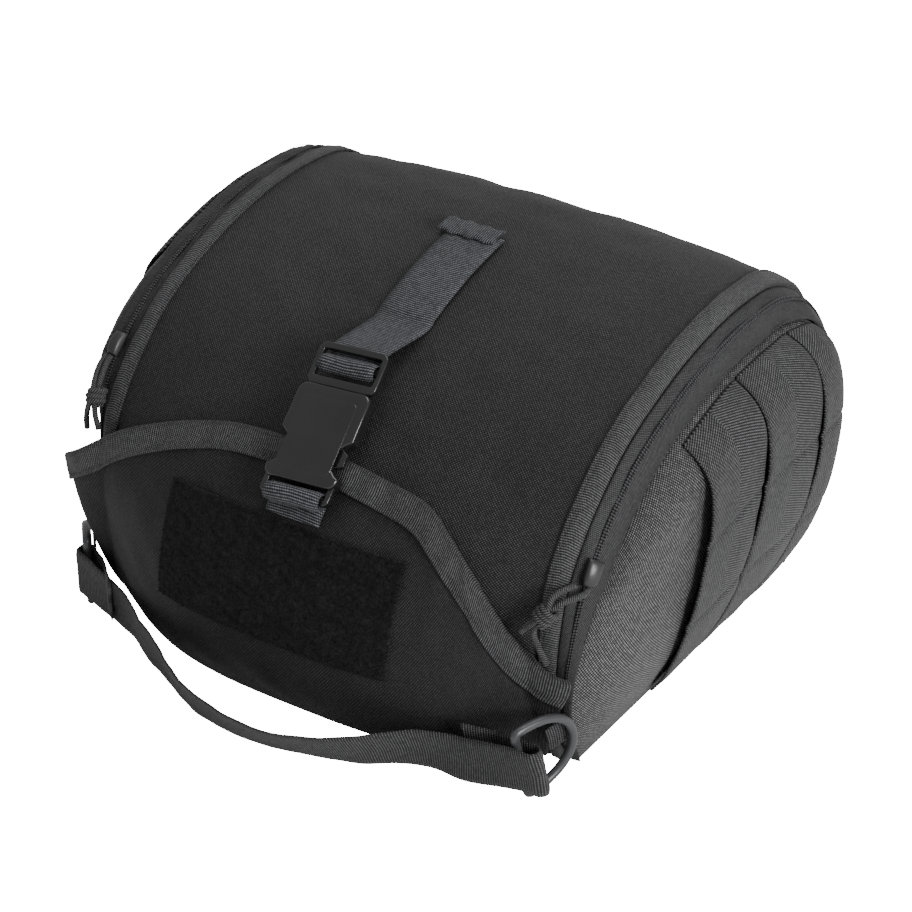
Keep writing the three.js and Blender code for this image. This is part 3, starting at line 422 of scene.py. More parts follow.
def ribbed(name, rib, slant, width, dark, light, roughness=0.6, specular=0.25, relief=0.00025, dash=0.9, sheen=0.04):
    """Ribbed tape or webbing: ribs across it that slant to the middle, broken into short dashes, with painted
    highlights on their tops.
    """
    g = Graph(name)
    u, v = g.cloth_coordinates()
    off = g.math("ABSOLUTE", v)
    phase = g.math("DIVIDE", g.math("MULTIPLY_ADD", off, slant, u), rib)
    rib_wave = g.math("SINE", g.math("MULTIPLY", phase, 2 * math.pi))
    dash_wave = g.math("SINE", g.math("MULTIPLY", g.math("ADD", g.math("DIVIDE", v, dash), g.math("MULTIPLY", phase, 0.5)), 2 * math.pi))
    height = g.math("MULTIPLY_ADD", rib_wave, 0.38, 0.5)
    height = g.math("MULTIPLY_ADD", dash_wave, 0.17, height)
    thread = g.random_cell(phase, g.math("DIVIDE", v, dash))
    # painted highlight: the rib and dash tops are made lighter in the base colour, with a random painted glint for each
    # dash
    painted_highlight = g.math("MULTIPLY", g.math("POWER", g.math("MAXIMUM", height, 0), 2.4), g.remap(thread, 0, 1, 0.7, 1.5))
    edge = g.remap(off, width / 2 - 1.6, width / 2, 1, 0.7)
    g.tint(g.math("MULTIPLY", painted_highlight, g.math("MULTIPLY", edge, g.remap(g.noise(14, 3), 0.3, 0.7, 0.8, 1.1))), dark, light)
    g.bump(height, relief)
    return g.finish(roughness, specular, sheen)


def plain_thread(name, color):
    g = Graph(name)
    g.tint(g.noise(2500, 2), tuple(c * 0.5 for c in color), tuple(c * 1.5 for c in color))
    g.bump(g.noise(3000, 2), 0.0001)
    return g.finish(0.7, 0.2, 0.05)


def moulded(name, color, roughness, wear=0.02, coat=0.0):
    """Moulded plastic: a fine grain, and a polish that changes slowly from place to place."""
    g = Graph(name)
    g.tint(g.noise(60, 4), tuple(c * 0.8 for c in color), tuple(c + wear * 0.3 for c in color))
    rough = g.remap(g.noise(45, 5), 0.3, 0.7, roughness - 0.06, roughness + 0.08)
    g.link(rough, g.shader.inputs["Roughness"])
    g.bump(g.noise(1800, 3), 0.00004, 0.6)
    material = g.finish(roughness, 0.5, 0, coat)
    return material


def pile(name, dark, light):
    g = Graph(name)
    curl = g.noise(700, 5, roughness=0.7)
    tuft = g.noise(160, 4)
    both = g.math("MULTIPLY", g.remap(curl, 0.35, 0.7, 0, 1), g.remap(tuft, 0.3, 0.7, 0.5, 1.3))
    g.tint(both, dark, light)
    g.bump(both, 0.0008)
    return g.finish(0.9, 0.1, 0.05)


NYLON_DARK = (0.0015, 0.0015, 0.0016)
body_cloth = woven("body_cloth_weave", 0.8, NYLON_DARK, (0.07, 0.069, 0.07))
# a lighter copy of the same weave for the end panels: their brighter, more contrasted threads are painted side light
side_lit_end_cloth = woven("side_lit_end_weave", 0.86, (0.0008, 0.0008, 0.0008), (0.23, 0.228, 0.23), relief=0.0002)
flap_cloth = woven("flap_cloth_weave", 0.8, NYLON_DARK, (0.045, 0.044, 0.045))
binding_tape = ribbed("binding_tape", 1.2, 0.12, 13, NYLON_DARK, (0.13, 0.13, 0.134))
zip_tape = ribbed("zip_tape_cloth", 1.05, 0.7, 60, NYLON_DARK, (0.07, 0.07, 0.073), relief=0.0001)
zip_line = ribbed("zip_line", 1.5, 0, 60, (0.001, 0.001, 0.001), (0.07, 0.07, 0.075), dash=1.4)
strap_webbing = ribbed("strap_webbing", 1.25, 0.05, 31, (0.0015, 0.0015, 0.002), (0.15, 0.157, 0.175), dash=1.3)
band_webbing = ribbed("band_webbing", 1.35, 0.5, 50, (0.0006, 0.0006, 0.0006), (0.115, 0.115, 0.118), dash=1.3)
handle_webbing = ribbed("handle_webbing", 1.3, 0.06, 27, NYLON_DARK, (0.095, 0.095, 0.099), dash=1.3)
patch_pile = pile("patch_pile", (0.0008, 0.0008, 0.0008), (0.02, 0.02, 0.021))
buckle_black = moulded("buckle_black", (0.006, 0.006, 0.0062), 0.24, coat=0.3)
ring_black = moulded("ring_black", (0.045, 0.046, 0.049), 0.3)
pull_cloth = ribbed("pull_cloth", 1.0, 0.4, 40, (0.003, 0.003, 0.003), (0.11, 0.11, 0.115), dash=0.8)
slider_black = moulded("slider_black", (0.02, 0.02, 0.021), 0.35)
stitch_black = plain_thread("stitch_black", (0.05, 0.05, 0.055))
loop_thread = plain_thread("loop_thread", (0.0035, 0.0035, 0.0036))


# Zip pulls, and the sliders that they hang from. Routes are along, across and lift on the skin.
PULL_DIAMETER = 3
SLIDER_ALONG = {"left": 0.318, "right": 0.256}
PULL_ROUTES = {
    "left": (
        (0.3035, 149, 1.8), (0.297, 148, 3.3), (0.289, 145.2, 5.6), (0.28, 142.8, 7.4), (0.27, 141.8, 8),
        (0.26, 141.2, 8), (0.25, 140.2, 8), (0.243, 138.8, 7.5), (0.236, 136.6, 7), (0.229, 134, 6.5),
    ),
    "right": (
        (0.2368, 149, 1.8), (0.2325, 147.4, 3.4), (0.2285, 143.2, 5.8), (0.2245, 138.6, 7.6), (0.2175, 134.4, 8.7),
        (0.209, 131.2, 9.2), (0.2, 128.4, 9.6), (0.187, 127.4, 9.6), (0.171, 130.6, 9.3), (0.157, 134.4, 9),
    ),
}
SECOND_STRANDS = {
    "left": (
        (0.3035, 152.6, 1.8), (0.296, 151.6, 4), (0.287, 149, 6.6), (0.277, 146, 8.6), (0.268, 143.8, 9.6), (0.26, 142.6, 10.2),
        (0.25, 143.4, 9.6), (0.243, 145.6, 8.6), (0.235, 148.6, 7.4), (0.227, 152, 6.4), (0.219, 155, 6),
    ),
    "right": (
        (0.2395, 142, 2.4), (0.2365, 138.6, 5), (0.2325, 135.4, 8), (0.2265, 133.2, 10.4), (0.2185, 132.6, 11.8), (0.209, 130.4, 12.4),
        (0.2005, 127.4, 12), (0.1935, 124.6, 11), (0.187, 122, 10),
    ),
}


def build_knot(side_name, centre, axis):
    """Turns of cord wrapped round the two strands."""
    axis = axis / np.linalg.norm(axis)
    first = np.cross(axis, (0.2, 0.1, 0.97))
    first /= np.linalg.norm(first)
    second = np.cross(axis, first)
    t = np.linspace(0, 1, 220)
    angle = t * 2 * np.pi * 3.6
    radius = 3.7 * np.clip(np.minimum(t, 1 - t) / 0.05, 0.55, 1)
    wobble = 1 + 0.08 * np.sin(angle * 0.5 + 1)
    path = (centre + ((t - 0.5) * 8.6)[:, None] * axis + (radius * wobble * np.cos(angle))[:, None] * first
            + (radius * wobble * np.sin(angle))[:, None] * second)
    return dress(tube(f"knot_{side_name}", path, 1.55, 10), pull_cloth, "zip_cord", f"zip_knot_{side_name}")


def build_pull(side_name, side):
    route = np.array(PULL_ROUTES[side_name])
    points = skin(route[:, 0], side * route[:, 1], route[:, 2])
    path = spline(points, np.linspace(0, 1, 140))
    share = 5 / (len(points) - 1)
    middle = spline(points, np.array([share, share - 0.03, share + 0.03]))
    knot = build_knot(side_name, middle[0], middle[2] - middle[1])
    cord = dress(tube(f"pull_{side_name}", path, PULL_DIAMETER / 2, 12), pull_cloth, "zip_cord", f"zip_cord_{side_name}")
    route = np.array(SECOND_STRANDS[side_name])
    path = spline(skin(route[:, 0], side * route[:, 1], route[:, 2]), np.linspace(0, 1, 120))
    strand = dress(tube(f"pull_second_{side_name}", path, PULL_DIAMETER / 2, 12), pull_cloth, "zip_cord")


def build_slider(side_name, side):
    middle = SLIDER_ALONG[side_name]
    pace = np.linalg.norm(skin(middle + 0.01, side * 149.15) - skin(middle - 0.01, side * 149.15)) / 0.02
    length, width = np.meshgrid(np.linspace(-1, 1, 40), np.linspace(-1, 1, 28), indexing="ij")
    edge = (1 - np.abs(length) ** 10) * (1 - np.abs(width) ** 8)
    waist = 1 - 0.22 * np.clip(-length, 0, 1) ** 2
    crown = 0.3 + 3.6 * np.clip(edge, 0, 1) ** 0.35 * (1 - 0.35 * length**2) * (1 - 0.22 * width**2)
    place = (middle + length * 6.4 / pace, side * (149.15 + width * 4.4 * waist))
    body = face_out(shell(f"slider_{side_name}", skin(*place, 0.5 + crown), skin(*place, 0.5 + 0 * crown), np.stack([length, width], -1)))
    dress(body, slider_black, "zip_metal", f"zip_slider_{side_name}")


for side_name, side in SIDES:
    build_pull(side_name, side)
    build_slider(side_name, side)


# Main panel
def build_main_panel():
    arch = np.linspace(0, 1, 300)
    across = np.concatenate([np.linspace(-137.5, -122, 16), np.linspace(-121, 121, 170), np.linspace(122, 137.5, 16)])
    a, x = np.meshgrid(arch, across, indexing="ij")
    flat = run_length(skin(a, x))
    dent = 0.5 * ripple(flat, x, 60, 1) + 0.28 * ripple(flat, x, 24, 2)
    calm = np.clip((120 - np.abs(x)) / 25, 0, 1) * np.clip(np.minimum(a, 1 - a) / 0.06, 0, 1)
    lift = (dent - 0.9) * calm * 0.55
    outer, inner = skin(a, x, lift), skin(a, x, -2.6)
    uv = np.stack([x, flat[:, [flat.shape[1] // 2]] + 0 * x], -1)
    return dress(shell("panel_cloth", outer, inner, uv), body_cloth, "body_cloth", "main_panel")


def build_base():
    lo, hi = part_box("base_panel")
    x = np.linspace(-133, 133, 60)
    share = np.linspace(0, 1, 50)
    xx, ss = np.meshgrid(x, share, indexing="ij")
    front = skin(0, xx)[..., 1] + 5.4
    back = skin(1, xx)[..., 1] - 5.4
    y = front + (back - front) * ss
    edge = np.clip(np.minimum(np.minimum(ss, 1 - ss) * 12, (133 - np.abs(xx)) / 12), 0, 1)
    dent = 0.35 + 0.25 * ripple(xx, y, 40, 3)
    bottom = np.stack([xx, y, np.clip(dent, 0, 0.9) * edge], -1)
    top = np.stack([xx, y, 0 * y + hi.z / MM], -1)
    uv = np.stack([xx, y], -1)
    return dress(shell("base_cloth", top, bottom, uv), body_cloth, "body_cloth", "base_panel")


def build_end(name, side):
    along, rise = np.linspace(0, 1, 130), np.linspace(0, 1, 130)
    u, v = np.meshgrid(along, rise, indexing="ij")
    flat = end_point(side, u, u, v)
    run_u, run_v = run_length(flat, 0), run_length(flat, 1)
    edge = np.clip(np.minimum(np.minimum(u, 1 - u), np.minimum(v, 1 - v)) / 0.08, 0, 1)
    dent = 0.6 * ripple(run_u, run_v, 55, 4 + (side > 0)) + 0.3 * ripple(run_u, run_v, 22, 6)
    outer = end_point(side, u, u, v, (dent - 0.9) * 0.6 * edge)
    inner = end_point(side, u, u, v, -2.3)
    uv = np.stack([run_u, run_v], -1)
    return dress(face_out(shell(f"{name}_cloth", outer, inner, uv)), side_lit_end_cloth, "body_cloth", name)


build_main_panel()
build_base()
for side_name, side in SIDES:
    build_end(f"end_panel_{side_name}", side)


# Flap
def build_flap():
    share, up = np.linspace(-1, 1, 220), np.linspace(0, 1, 130)
    s, u = np.meshgrid(share, up, indexing="ij")
    flat = flap(s, u, FLAP_WALL)
    run_s, run_u = run_length(flat, 0), run_length(flat, 1)
    edge = np.clip(np.minimum(u, 1 - u) / 0.12, 0, 1) * np.clip((1 - np.abs(s)) / 0.06, 0, 1)
    dent = 0.5 * ripple(run_s, run_u, 50, 9) + 0.3 * ripple(run_s, run_u, 22, 10)
    lift = (dent - 0.2) * edge * 0.7
    outer, inner = flap(s, u, FLAP_WALL + lift), flap(s, u, 0 * lift)
    uv = np.stack([run_s - run_s.mean(), run_u], -1)
    piece = dress(shell("flap_cloth_piece", outer, inner, uv), flap_cloth, "flap_cloth", "front_flap")


build_flap()


# Strips: a closed cross-section carried along a path
def strip_mesh(name, outline, uv_across, run, closed_path=False):
    """A skin through cross-sections. outline is (steps, profile, 3) with the profile closed on itself."""
    steps, count = outline.shape[:2]
    at = np.arange(steps * count).reshape(steps, count)
    faces = []
    last = steps if closed_path else steps - 1
    for i in range(last):
        n = (i + 1) % steps
        faces.extend(np.stack([at[i], np.roll(at[i], -1), np.roll(at[n], -1), at[n]], -1).tolist())
    if not closed_path:
        faces.append(at[0][::-1].tolist())
        faces.append(at[-1].tolist())
    uv = np.stack([np.broadcast_to(run[:, None], (steps, count)), np.broadcast_to(uv_across, (steps, count))], -1)
    return face_out(mesh_object(name, outline.reshape(-1, 3), faces, uv.reshape(-1, 2)))


def ribbon_profile(width, wall, count=10, crown=0.0):
    """Points round a flat strip's section: (across, out, cloth across)."""
    across = np.linspace(-1, 1, count)
    edge = np.sqrt(np.clip(1 - np.abs(across) ** 14, 0, 1)) * 0.7 + 0.3
    half = wall / 2 * edge
    arch = crown * (1 - across**2)
    top = np.stack([across * width / 2, half + arch, across * width / 2], -1)
    low = np.stack([across[::-1] * width / 2, -half[::-1] + arch[::-1], across[::-1] * width / 2], -1)
    return np.concatenate([top, low])


def smooth_steps(points, across, samples):
    """Resamples a path and its width directions on smooth curves, evenly by length, with the outward normals."""
    points, across = np.asarray(points, float), np.asarray(across, float)
    fine = np.linspace(0, 1, 600)
    dense = spline(points, fine)
    run = run_length(dense)
    t = np.interp(np.linspace(0, run[-1], samples), run, fine)
    path, wide = spline(points, t), spline(across, t)
    wide /= np.linalg.norm(wide, axis=1, keepdims=True)
    forward = np.gradient(path, axis=0)
    forward /= np.linalg.norm(forward, axis=1, keepdims=True)
    normal = np.cross(wide, forward)
    normal /= np.linalg.norm(normal, axis=1, keepdims=True)
    return path, wide, normal, run_length(path)


def ribbon(name, points, across, width, wall, samples, crown=0.0, wave=0.0, seed=0):
    path, wide, normal, run = smooth_steps(points, across, samples)
    profile = ribbon_profile(width, wall, crown=crown)
    ripple_out = wave * ripple(run[:, None] + 0 * profile[:, 0], profile[:, 0][None] + 0 * run[:, None], 18, seed)
    outline = (path[:, None] + profile[None, :, 0, None] * wide[:, None]
               + (profile[None, :, 1] + ripple_out)[..., None] * normal[:, None])
    return strip_mesh(name, outline, profile[:, 2][None], run)


# Edge bindings, zips and their stitching
def build_binding(side_name, side):
    arch = np.linspace(0, 1, 420)
    outer = np.array([
        [126, 0.25], [126.1, 1.15], [126.7, 1.55], [127.6, 1.45], [128.2, 1.25], [128.8, 1.5], [131, 1.75], [134, 1.8],
        [137, 1.65], [138.4, 1.2], [139.1, 0.3], [139.2, -1.5], [139, -3.4], [138.2, -4.3], [136, -4.6], [132.8, -4.55],
    ])
    inner = np.array([[132.8, -3.4], [137.6, -3.4], [138, -2.6], [138, -0.6], [137.6, 0.2], [130, 0.2]])
    profile = np.concatenate([outer, inner])
    cloth = np.concatenate([run_length(outer) - 7.4, np.full(len(inner), 6.0)])
    a, x = np.meshgrid(arch, profile[:, 0], indexing="ij")
    run = run_length(skin(arch, side * 132))
    wave = 0.16 * ripple(run[:, None], x, 16, 21 + (side > 0)) * (profile[None, :, 1] > 0.9)
    outline = skin(a, side * x, profile[None, :, 1] + wave)
    obj = strip_mesh(f"binding_tape_{side_name}", outline, cloth[None], run)
    return dress(obj, binding_tape, "ribbed_tape", f"edge_binding_{side_name}")


ZIP_MIDDLE = 149.15
TAPE_PROFILE = np.array([
    [139.5, -1.9], [141, -1.6], [144, -1.4], [146.6, -1.2], [147.6, -1.1], [150.7, -1.1], [152, -1.2], [156, -1.1],
    [160, -1.2], [163, -1.6], [164.8, -2.1], [165, -2.5],
])


def build_tape(side_name, side):
    arch = np.linspace(0, 1, 360)
    under = TAPE_PROFILE[::-1] + (0, -1.1)
    profile = np.concatenate([TAPE_PROFILE, under])
    cloth = np.concatenate([run_length(TAPE_PROFILE) - 12, np.full(len(under), 0.0)])
    a, x = np.meshgrid(arch, profile[:, 0], indexing="ij")
    run = run_length(skin(arch, side * 155))
    calm = np.clip(np.minimum(arch, 1 - arch) / 0.04, 0, 1)[:, None] * np.clip((profile[None, :, 0] - 141) / 3, 0, 1)
    wave = (0.3 * ripple(run[:, None], x, 30, 31 + (side > 0)) + 0.12 * ripple(run[:, None], x, 12, 33)) * calm
    obj = strip_mesh(f"zip_tape_{side_name}", skin(a, side * x, profile[None, :, 1] + wave), cloth[None], run)
    return dress(obj, zip_tape, "ribbed_tape", f"zipper_tape_{side_name}")


def build_coil(side_name, side):
    """The closed zip from its smooth side: two low ridges with a thin line between them."""
    profile = np.array([
        [-1.8, -1.0], [-1.5, -0.35], [-1, -0.1], [-0.5, -0.15], [-0.18, -0.5], [0, -0.95], [0.18, -0.5], [0.5, -0.15],
        [1, -0.1], [1.5, -0.35], [1.8, -1.0], [1.2, -1.2], [-1.2, -1.2],
    ])
    arch = np.linspace(0.032, 0.968, 420)
    a, x = np.meshgrid(arch, ZIP_MIDDLE + profile[:, 0], indexing="ij")
    run = run_length(skin(arch, side * ZIP_MIDDLE))
    outline = skin(a, side * x, profile[None, :, 1] + 0 * a)
    obj = strip_mesh(f"zip_line_{side_name}", outline, profile[None, :, 0], run)
    return dress(obj, zip_line, "ribbed_tape", f"zipper_coil_{side_name}")


def stitches(name, path, normal, pitch=3.4, length=2.3, radius=0.28, sink=0.1, zigzag=0.0):
    """Short thread stitches along a path, each a small rounded bar that dips in at its ends."""
    run = run_length(path)
    starts = np.arange(pitch * 0.3, run[-1] - length, pitch)
    points, faces, sides = [], [], 5

    def at(values, s):
        return np.stack([np.interp(s, run, values[:, k]) for k in range(3)], -1)

    for number, start in enumerate(starts):
        s = start + np.array([0, 0.18, 0.5, 0.82, 1]) * length
        centre, out = at(path, s), at(normal, s)
        out /= np.linalg.norm(out, axis=1, keepdims=True)
        forward = centre[-1] - centre[0]
        forward /= np.linalg.norm(forward)
        aside = np.cross(forward, out[2])
        if zigzag:
            centre = centre + aside * (np.array([-1, -0.64, 0, 0.64, 1]) * zigzag * (1 if number % 2 else -1))[:, None]
        lift = np.array([-1.0, 0.1, 0.45, 0.1, -1.0]) * radius - sink
        size = np.array([0.35, 0.9, 1, 0.9, 0.35]) * radius
        base = len(points) * 1
        for k in range(5):
            for j in range(sides):
                angle = 2 * np.pi * j / sides
                points.append(centre[k] + out[k] * (lift[k] + size[k] * math.sin(angle)) + aside * size[k] * math.cos(angle))
        for k in range(4):
            for j in range(sides):
                n = (j + 1) % sides
                faces.append([base + k * sides + j, base + k * sides + n, base + (k + 1) * sides + n, base + (k + 1) * sides + j])
        faces.append([base + j for j in range(sides)][::-1])
        faces.append([base + 4 * sides + j for j in range(sides)])
    return face_out(mesh_object(name, points, faces))


def skin_line(along, across, lift):
    """A path on the skin and its outward directions."""
    path = skin(along, across, lift)
    normal = skin(along, across, np.asarray(lift) + 1) - path
    return path, normal


def build_edge_stitches(side_name, side):
    arch = np.linspace(0.01, 0.99, 500)
    pieces = []
    for number, (across, lift) in enumerate(((128.2, 1.5), (163.2, -1.5))):
        obj = stitches(f"edge_stitches_{side_name}_{number + 1}", *skin_line(arch, side * across + 0 * arch, lift))
        dress(obj, stitch_black, "ribbed_tape")
        pieces.append(obj)
    return pieces


for side_name, side in SIDES:
    build_binding(side_name, side)
    build_tape(side_name, side)
    build_coil(side_name, side)
    build_edge_stitches(side_name, side)


# Side bands
BAND_CLEAR, BAND_BOW, BAND_WALL = 0.8, 3.2, 1.6


def band_point(side, start, w, rise, lift):
    """A point over a band: w runs from -1 at its front edge to 1 at its back edge."""
    edges = BAND_ROWS[[start, start + 1, start + 2]]
    share = (np.asarray(w, float) + 1) / 2
    bottom = np.interp(share, [0, 0.5, 1], edges[:, 0])
    top = np.interp(share, [0, 0.5, 1], edges[:, 1])
    return end_point(side, bottom, top, rise, lift)


def build_band(side_name, side, number, start):
    rise = np.linspace(0.012, 0.985, 150)
    across = np.linspace(-0.97, 0.97, 18)
    r, w = np.meshgrid(rise, across, indexing="ij")
    rows = np.arange(len(rise))
    flat = band_point(side, start, w, r, 0.0)
    run = run_length(flat, 0)[:, 9]
    width = np.linalg.norm(flat[len(rise) // 2, -1] - flat[len(rise) // 2, 0])
    tack = sum(np.exp(-((r - at) / 0.012) ** 2) for at in (0.34, 0.6))
    stand = BAND_CLEAR + BAND_BOW * np.sin(np.pi * r) ** 1.2 * (1 - 0.18 * tack)
    front_edge = 1.6 * np.exp(-((w + 1) / 0.35) ** 2) * np.sin(np.pi * np.clip((r - 0.3) / 0.6, 0, 1)) ** 2
    crown = 0.9 * (1 - w**2) * np.sin(np.pi * r)
    lift = stand + crown + front_edge - 0.25 * tack + 0.18 * ripple(run[:, None], w * 25, 30, 40 + number + 3 * (side > 0))
    edge = 0.3 + 0.7 * np.sqrt(np.clip(1 - np.abs(w) ** 16, 0, 1))
    outer = band_point(side, start, w, r, lift + BAND_WALL / 2 * (1 + edge))
    inner = band_point(side, start, w, r, lift + BAND_WALL / 2 * (1 - edge))
    uv = np.stack([np.broadcast_to(run[rows][:, None], w.shape), w * width / 2], -1)
    obj = face_out(shell(f"band_{side_name}_{number}", outer, inner, uv))
    dress(obj, band_webbing, "webbing", f"side_band_{side_name}_{number}")
    for k, at in enumerate((0.34, 0.6)):
        ww = np.linspace(-0.93, 0.93, 60)
        path = band_point(side, start, ww, at, np.interp(ww, across, (lift + BAND_WALL)[np.abs(rise - at).argmin()]))
        thread = stitches(f"band_tack_{side_name}_{number}_{k + 1}", path, np.tile([side, 0, 0.1], (60, 1)), 1.5, 1.5, 0.25, 0.05, 0.6)
        dress(thread, stitch_black, "webbing")


for side_name, side in SIDES:
    for number, start in enumerate((2, 4, 6)):
        build_band(side_name, side, number + 1, start)


# Flap binding, patch
def build_flap_binding():
    share = np.linspace(-1, 1, 420)
    length = np.linalg.norm(flap(share, 1.0) - flap(share, 0.8), axis=-1) / 0.2
    outer = np.array([
        [-13, 2.2], [-13.1, 3.2], [-12.5, 3.75], [-11.5, 3.7], [-10.8, 3.4], [-10.1, 3.7], [-7, 3.95], [-3, 3.95],
        [-0.6, 3.8], [0.8, 3.2], [1.45, 2.2], [1.5, 0.6], [1.1, -0.9], [0.2, -1.9], [-1.5, -2.1], [-3.4, -2.05],
    ])
    inner = np.array([[-3.4, -0.95], [0.2, -0.9], [0.4, 0.6], [0.3, 2.4], [-0.4, 2.7], [-12, 2.6]])
    profile = np.concatenate([outer, inner])
    cloth = np.concatenate([run_length(outer) - 7.4, np.full(len(inner), 6.0)])
    s = np.broadcast_to(share[:, None], (len(share), len(profile)))
    run = run_length(flap(share, 1.0))
    pucker = 0.3 * ripple(run[:, None], profile[None, :, 0], 15, 51) * (profile[None, :, 1] > 3)
    outline = flap(s, 1 + profile[None, :, 0] / length[:, None], profile[None, :, 1] + pucker)
    obj = strip_mesh("flap_edge_tape", outline, cloth[None], run)
    dress(obj, binding_tape, "ribbed_tape", "flap_binding")
    line = flap(share, 1 - 10.8 / length, 3.6)
    thread = stitches("flap_edge_stitches", line, flap(share, 1 - 10.8 / length, 4.6) - line)
    dress(thread, stitch_black, "ribbed_tape")


PATCH = {"middle": -4, "width": 137, "low": 0.112, "high": 0.227, "lift": 0.6, "wall": 1.6}


def build_patch():
    across = PATCH["middle"] + np.linspace(-0.5, 0.5, 150) * PATCH["width"]
    along = np.linspace(PATCH["low"], PATCH["high"], 70)
    x, a = np.meshgrid(across, along, indexing="ij")
    edge_x = np.abs(x - PATCH["middle"]) / (PATCH["width"] / 2)
    edge_a = np.abs(2 * (a - PATCH["low"]) / (PATCH["high"] - PATCH["low"]) - 1)
    round_off = np.clip(1 - np.maximum(edge_x**50, edge_a**24), 0.25, 1)
    lumps = 0.35 * ripple(x, a * 520, 5, 61) + 0.25 * ripple(x, a * 520, 2.2, 62)
    outer = on_flap(a, x, PATCH["lift"] + PATCH["wall"] * round_off + lumps * round_off * 0.5)
    inner = on_flap(a, x, PATCH["lift"] * 0.6)
    uv = np.stack([x, a * 520], -1)
    dress(face_out(shell("patch_pile_piece", outer, inner, uv)), patch_pile, "loop_pile", "loop_patch")
    # Loops of thread standing out of the pile
    local = np.random.default_rng(63)
    count, points, faces = 9000, [], []
    px = PATCH["middle"] + local.uniform(-0.495, 0.495, count) * PATCH["width"]
    pa = local.uniform(PATCH["low"] + 0.001, PATCH["high"] - 0.001, count)
    foot, high = on_flap(pa, px, 1.6), on_flap(pa, px, 2.9)
    heading, reach, size = local.uniform(0, 2 * np.pi, count), local.uniform(0.5, 1.3, count), local.uniform(0.08, 0.14, count)
    for k in range(count):
        out = (high[k] - foot[k]) / np.linalg.norm(high[k] - foot[k])
        aside = np.cross(out, (0.1, 0.2, 0.97))
        aside /= np.linalg.norm(aside)
        other = np.cross(out, aside)
        go = (math.cos(heading[k]) * aside + math.sin(heading[k]) * other) * reach[k]
        turn = np.cross(go, out)
        turn *= size[k] / max(np.linalg.norm(turn), 1e-9)
        arc = [foot[k], foot[k] + go * 0.3 + out * 0.75 * reach[k], foot[k] + go * 0.8 + out * 0.8 * reach[k], foot[k] + go]
        base = len(points)
        for spot in arc:
            points.extend([spot - turn, spot + turn])
        faces.extend([[base + 2 * j, base + 2 * j + 1, base + 2 * j + 3, base + 2 * j + 2] for j in range(3)])
    dress(mesh_object("patch_loops", points, faces), loop_thread, "loop_pile")


build_flap_binding()
build_patch()


# Buckle, in a frame on the slope of the front: x across, y up the slope, z out
BUCKLE = {"x": -0.8, "low": 0.2445, "middle": 0.31, "high": 0.385, "lift": 10.75, "tip": -1.3, "yaw": 3.9}
BUCKLE_LENGTH, BUCKLE_WIDTH, BUCKLE_WALL, BAR, SLOT, FRAME_WALL = 80, 40, 8, 3.4, 5.4, 3.6
foot_point, head_point = skin(BUCKLE["low"], BUCKLE["x"]), skin(BUCKLE["high"], BUCKLE["x"])
slope = math.atan2(head_point[2] - foot_point[2], head_point[1] - foot_point[1]) + math.radians(BUCKLE["tip"])
buckle_centre = skin(BUCKLE["middle"], BUCKLE["x"]) + np.array([0, -math.sin(slope), math.cos(slope)]) * BUCKLE["lift"]
buckle_frame = (Matrix.Translation(Vector(buckle_centre)) @ Matrix.Rotation(slope, 4, "X")
                @ Matrix.Rotation(math.radians(BUCKLE["yaw"]), 4, "Z"))
BUCKLE_ACROSS = np.array(buckle_frame.to_3x3() @ Vector((1, 0, 0)))
TOP_BAR = BUCKLE_LENGTH / 2 - BAR / 2
SECOND_BAR = TOP_BAR - BAR - SLOT
LOW_BAR = -TOP_BAR
SOCKET_TOP = SECOND_BAR - BAR / 2 - SLOT - 5
SOCKET_LOW = LOW_BAR + BAR / 2 + SLOT


def in_buckle(x, y, z):
    return np.array(buckle_frame @ Vector((x, y, z)))


def wrap(bar_y, degrees, radius=3.9):
    return [in_buckle(0, bar_y + radius * math.cos(math.radians(d)), radius * math.sin(math.radians(d))) for d in degrees]


def rounded(x0, y0, x1, y1, radius, steps=6):
    corners = ((x1 - radius, y0 + radius, -90), (x1 - radius, y1 - radius, 0), (x0 + radius, y1 - radius, 90), (x0 + radius, y0 + radius, 180))
    return [(x + radius * math.cos(math.radians(a)), y + radius * math.sin(math.radians(a)))
            for x, y, start in corners for a in np.linspace(start, start + 90, steps)]


def plate(loops, wall, bevel, middle=0.0):
    """A moulded plate in the buckle's frame: an outline, then its holes, with rounded edges."""
    data = bpy.data.curves.new("plate", "CURVE")
    data.dimensions, data.fill_mode = "2D", "BOTH"
    data.extrude, data.bevel_depth, data.bevel_resolution, data.offset = wall / 2 - bevel, bevel, 3, -bevel
    for loop in loops:
        line = data.splines.new("POLY")
        line.points.add(len(loop) - 1)
        for point, (x, y) in zip(line.points, loop):
            point.co = (x, y, 0, 1)
        line.use_cyclic_u = True
    obj = bpy.data.objects.new("plate", data)
    bpy.context.scene.collection.objects.link(obj)
    bpy.context.view_layer.update()
    mesh = bpy.data.meshes.new_from_object(obj.evaluated_get(bpy.context.evaluated_depsgraph_get()))
    bpy.data.objects.remove(obj)
    mesh.transform(Matrix.Scale(MM, 4) @ buckle_frame @ Matrix.Translation((0, 0, middle)))
    return mesh


def moulding(name, plates):
    """Plates joined into one piece."""
    import bmesh
    work = bmesh.new()
    for mesh in plates:
        work.from_mesh(mesh)
    bmesh.ops.remove_doubles(work, verts=work.verts, dist=0.000002)
    bmesh.ops.recalc_face_normals(work, faces=work.faces)
    mesh = bpy.data.meshes.new(name)
    work.to_mesh(mesh)
    work.free()
    mesh.polygons.foreach_set("use_smooth", [True] * len(mesh.polygons))
    mesh.set_sharp_from_angle(angle=math.radians(38))
    obj = bpy.data.objects.new(name, mesh)
    bpy.context.scene.collection.objects.link(obj)
    return obj


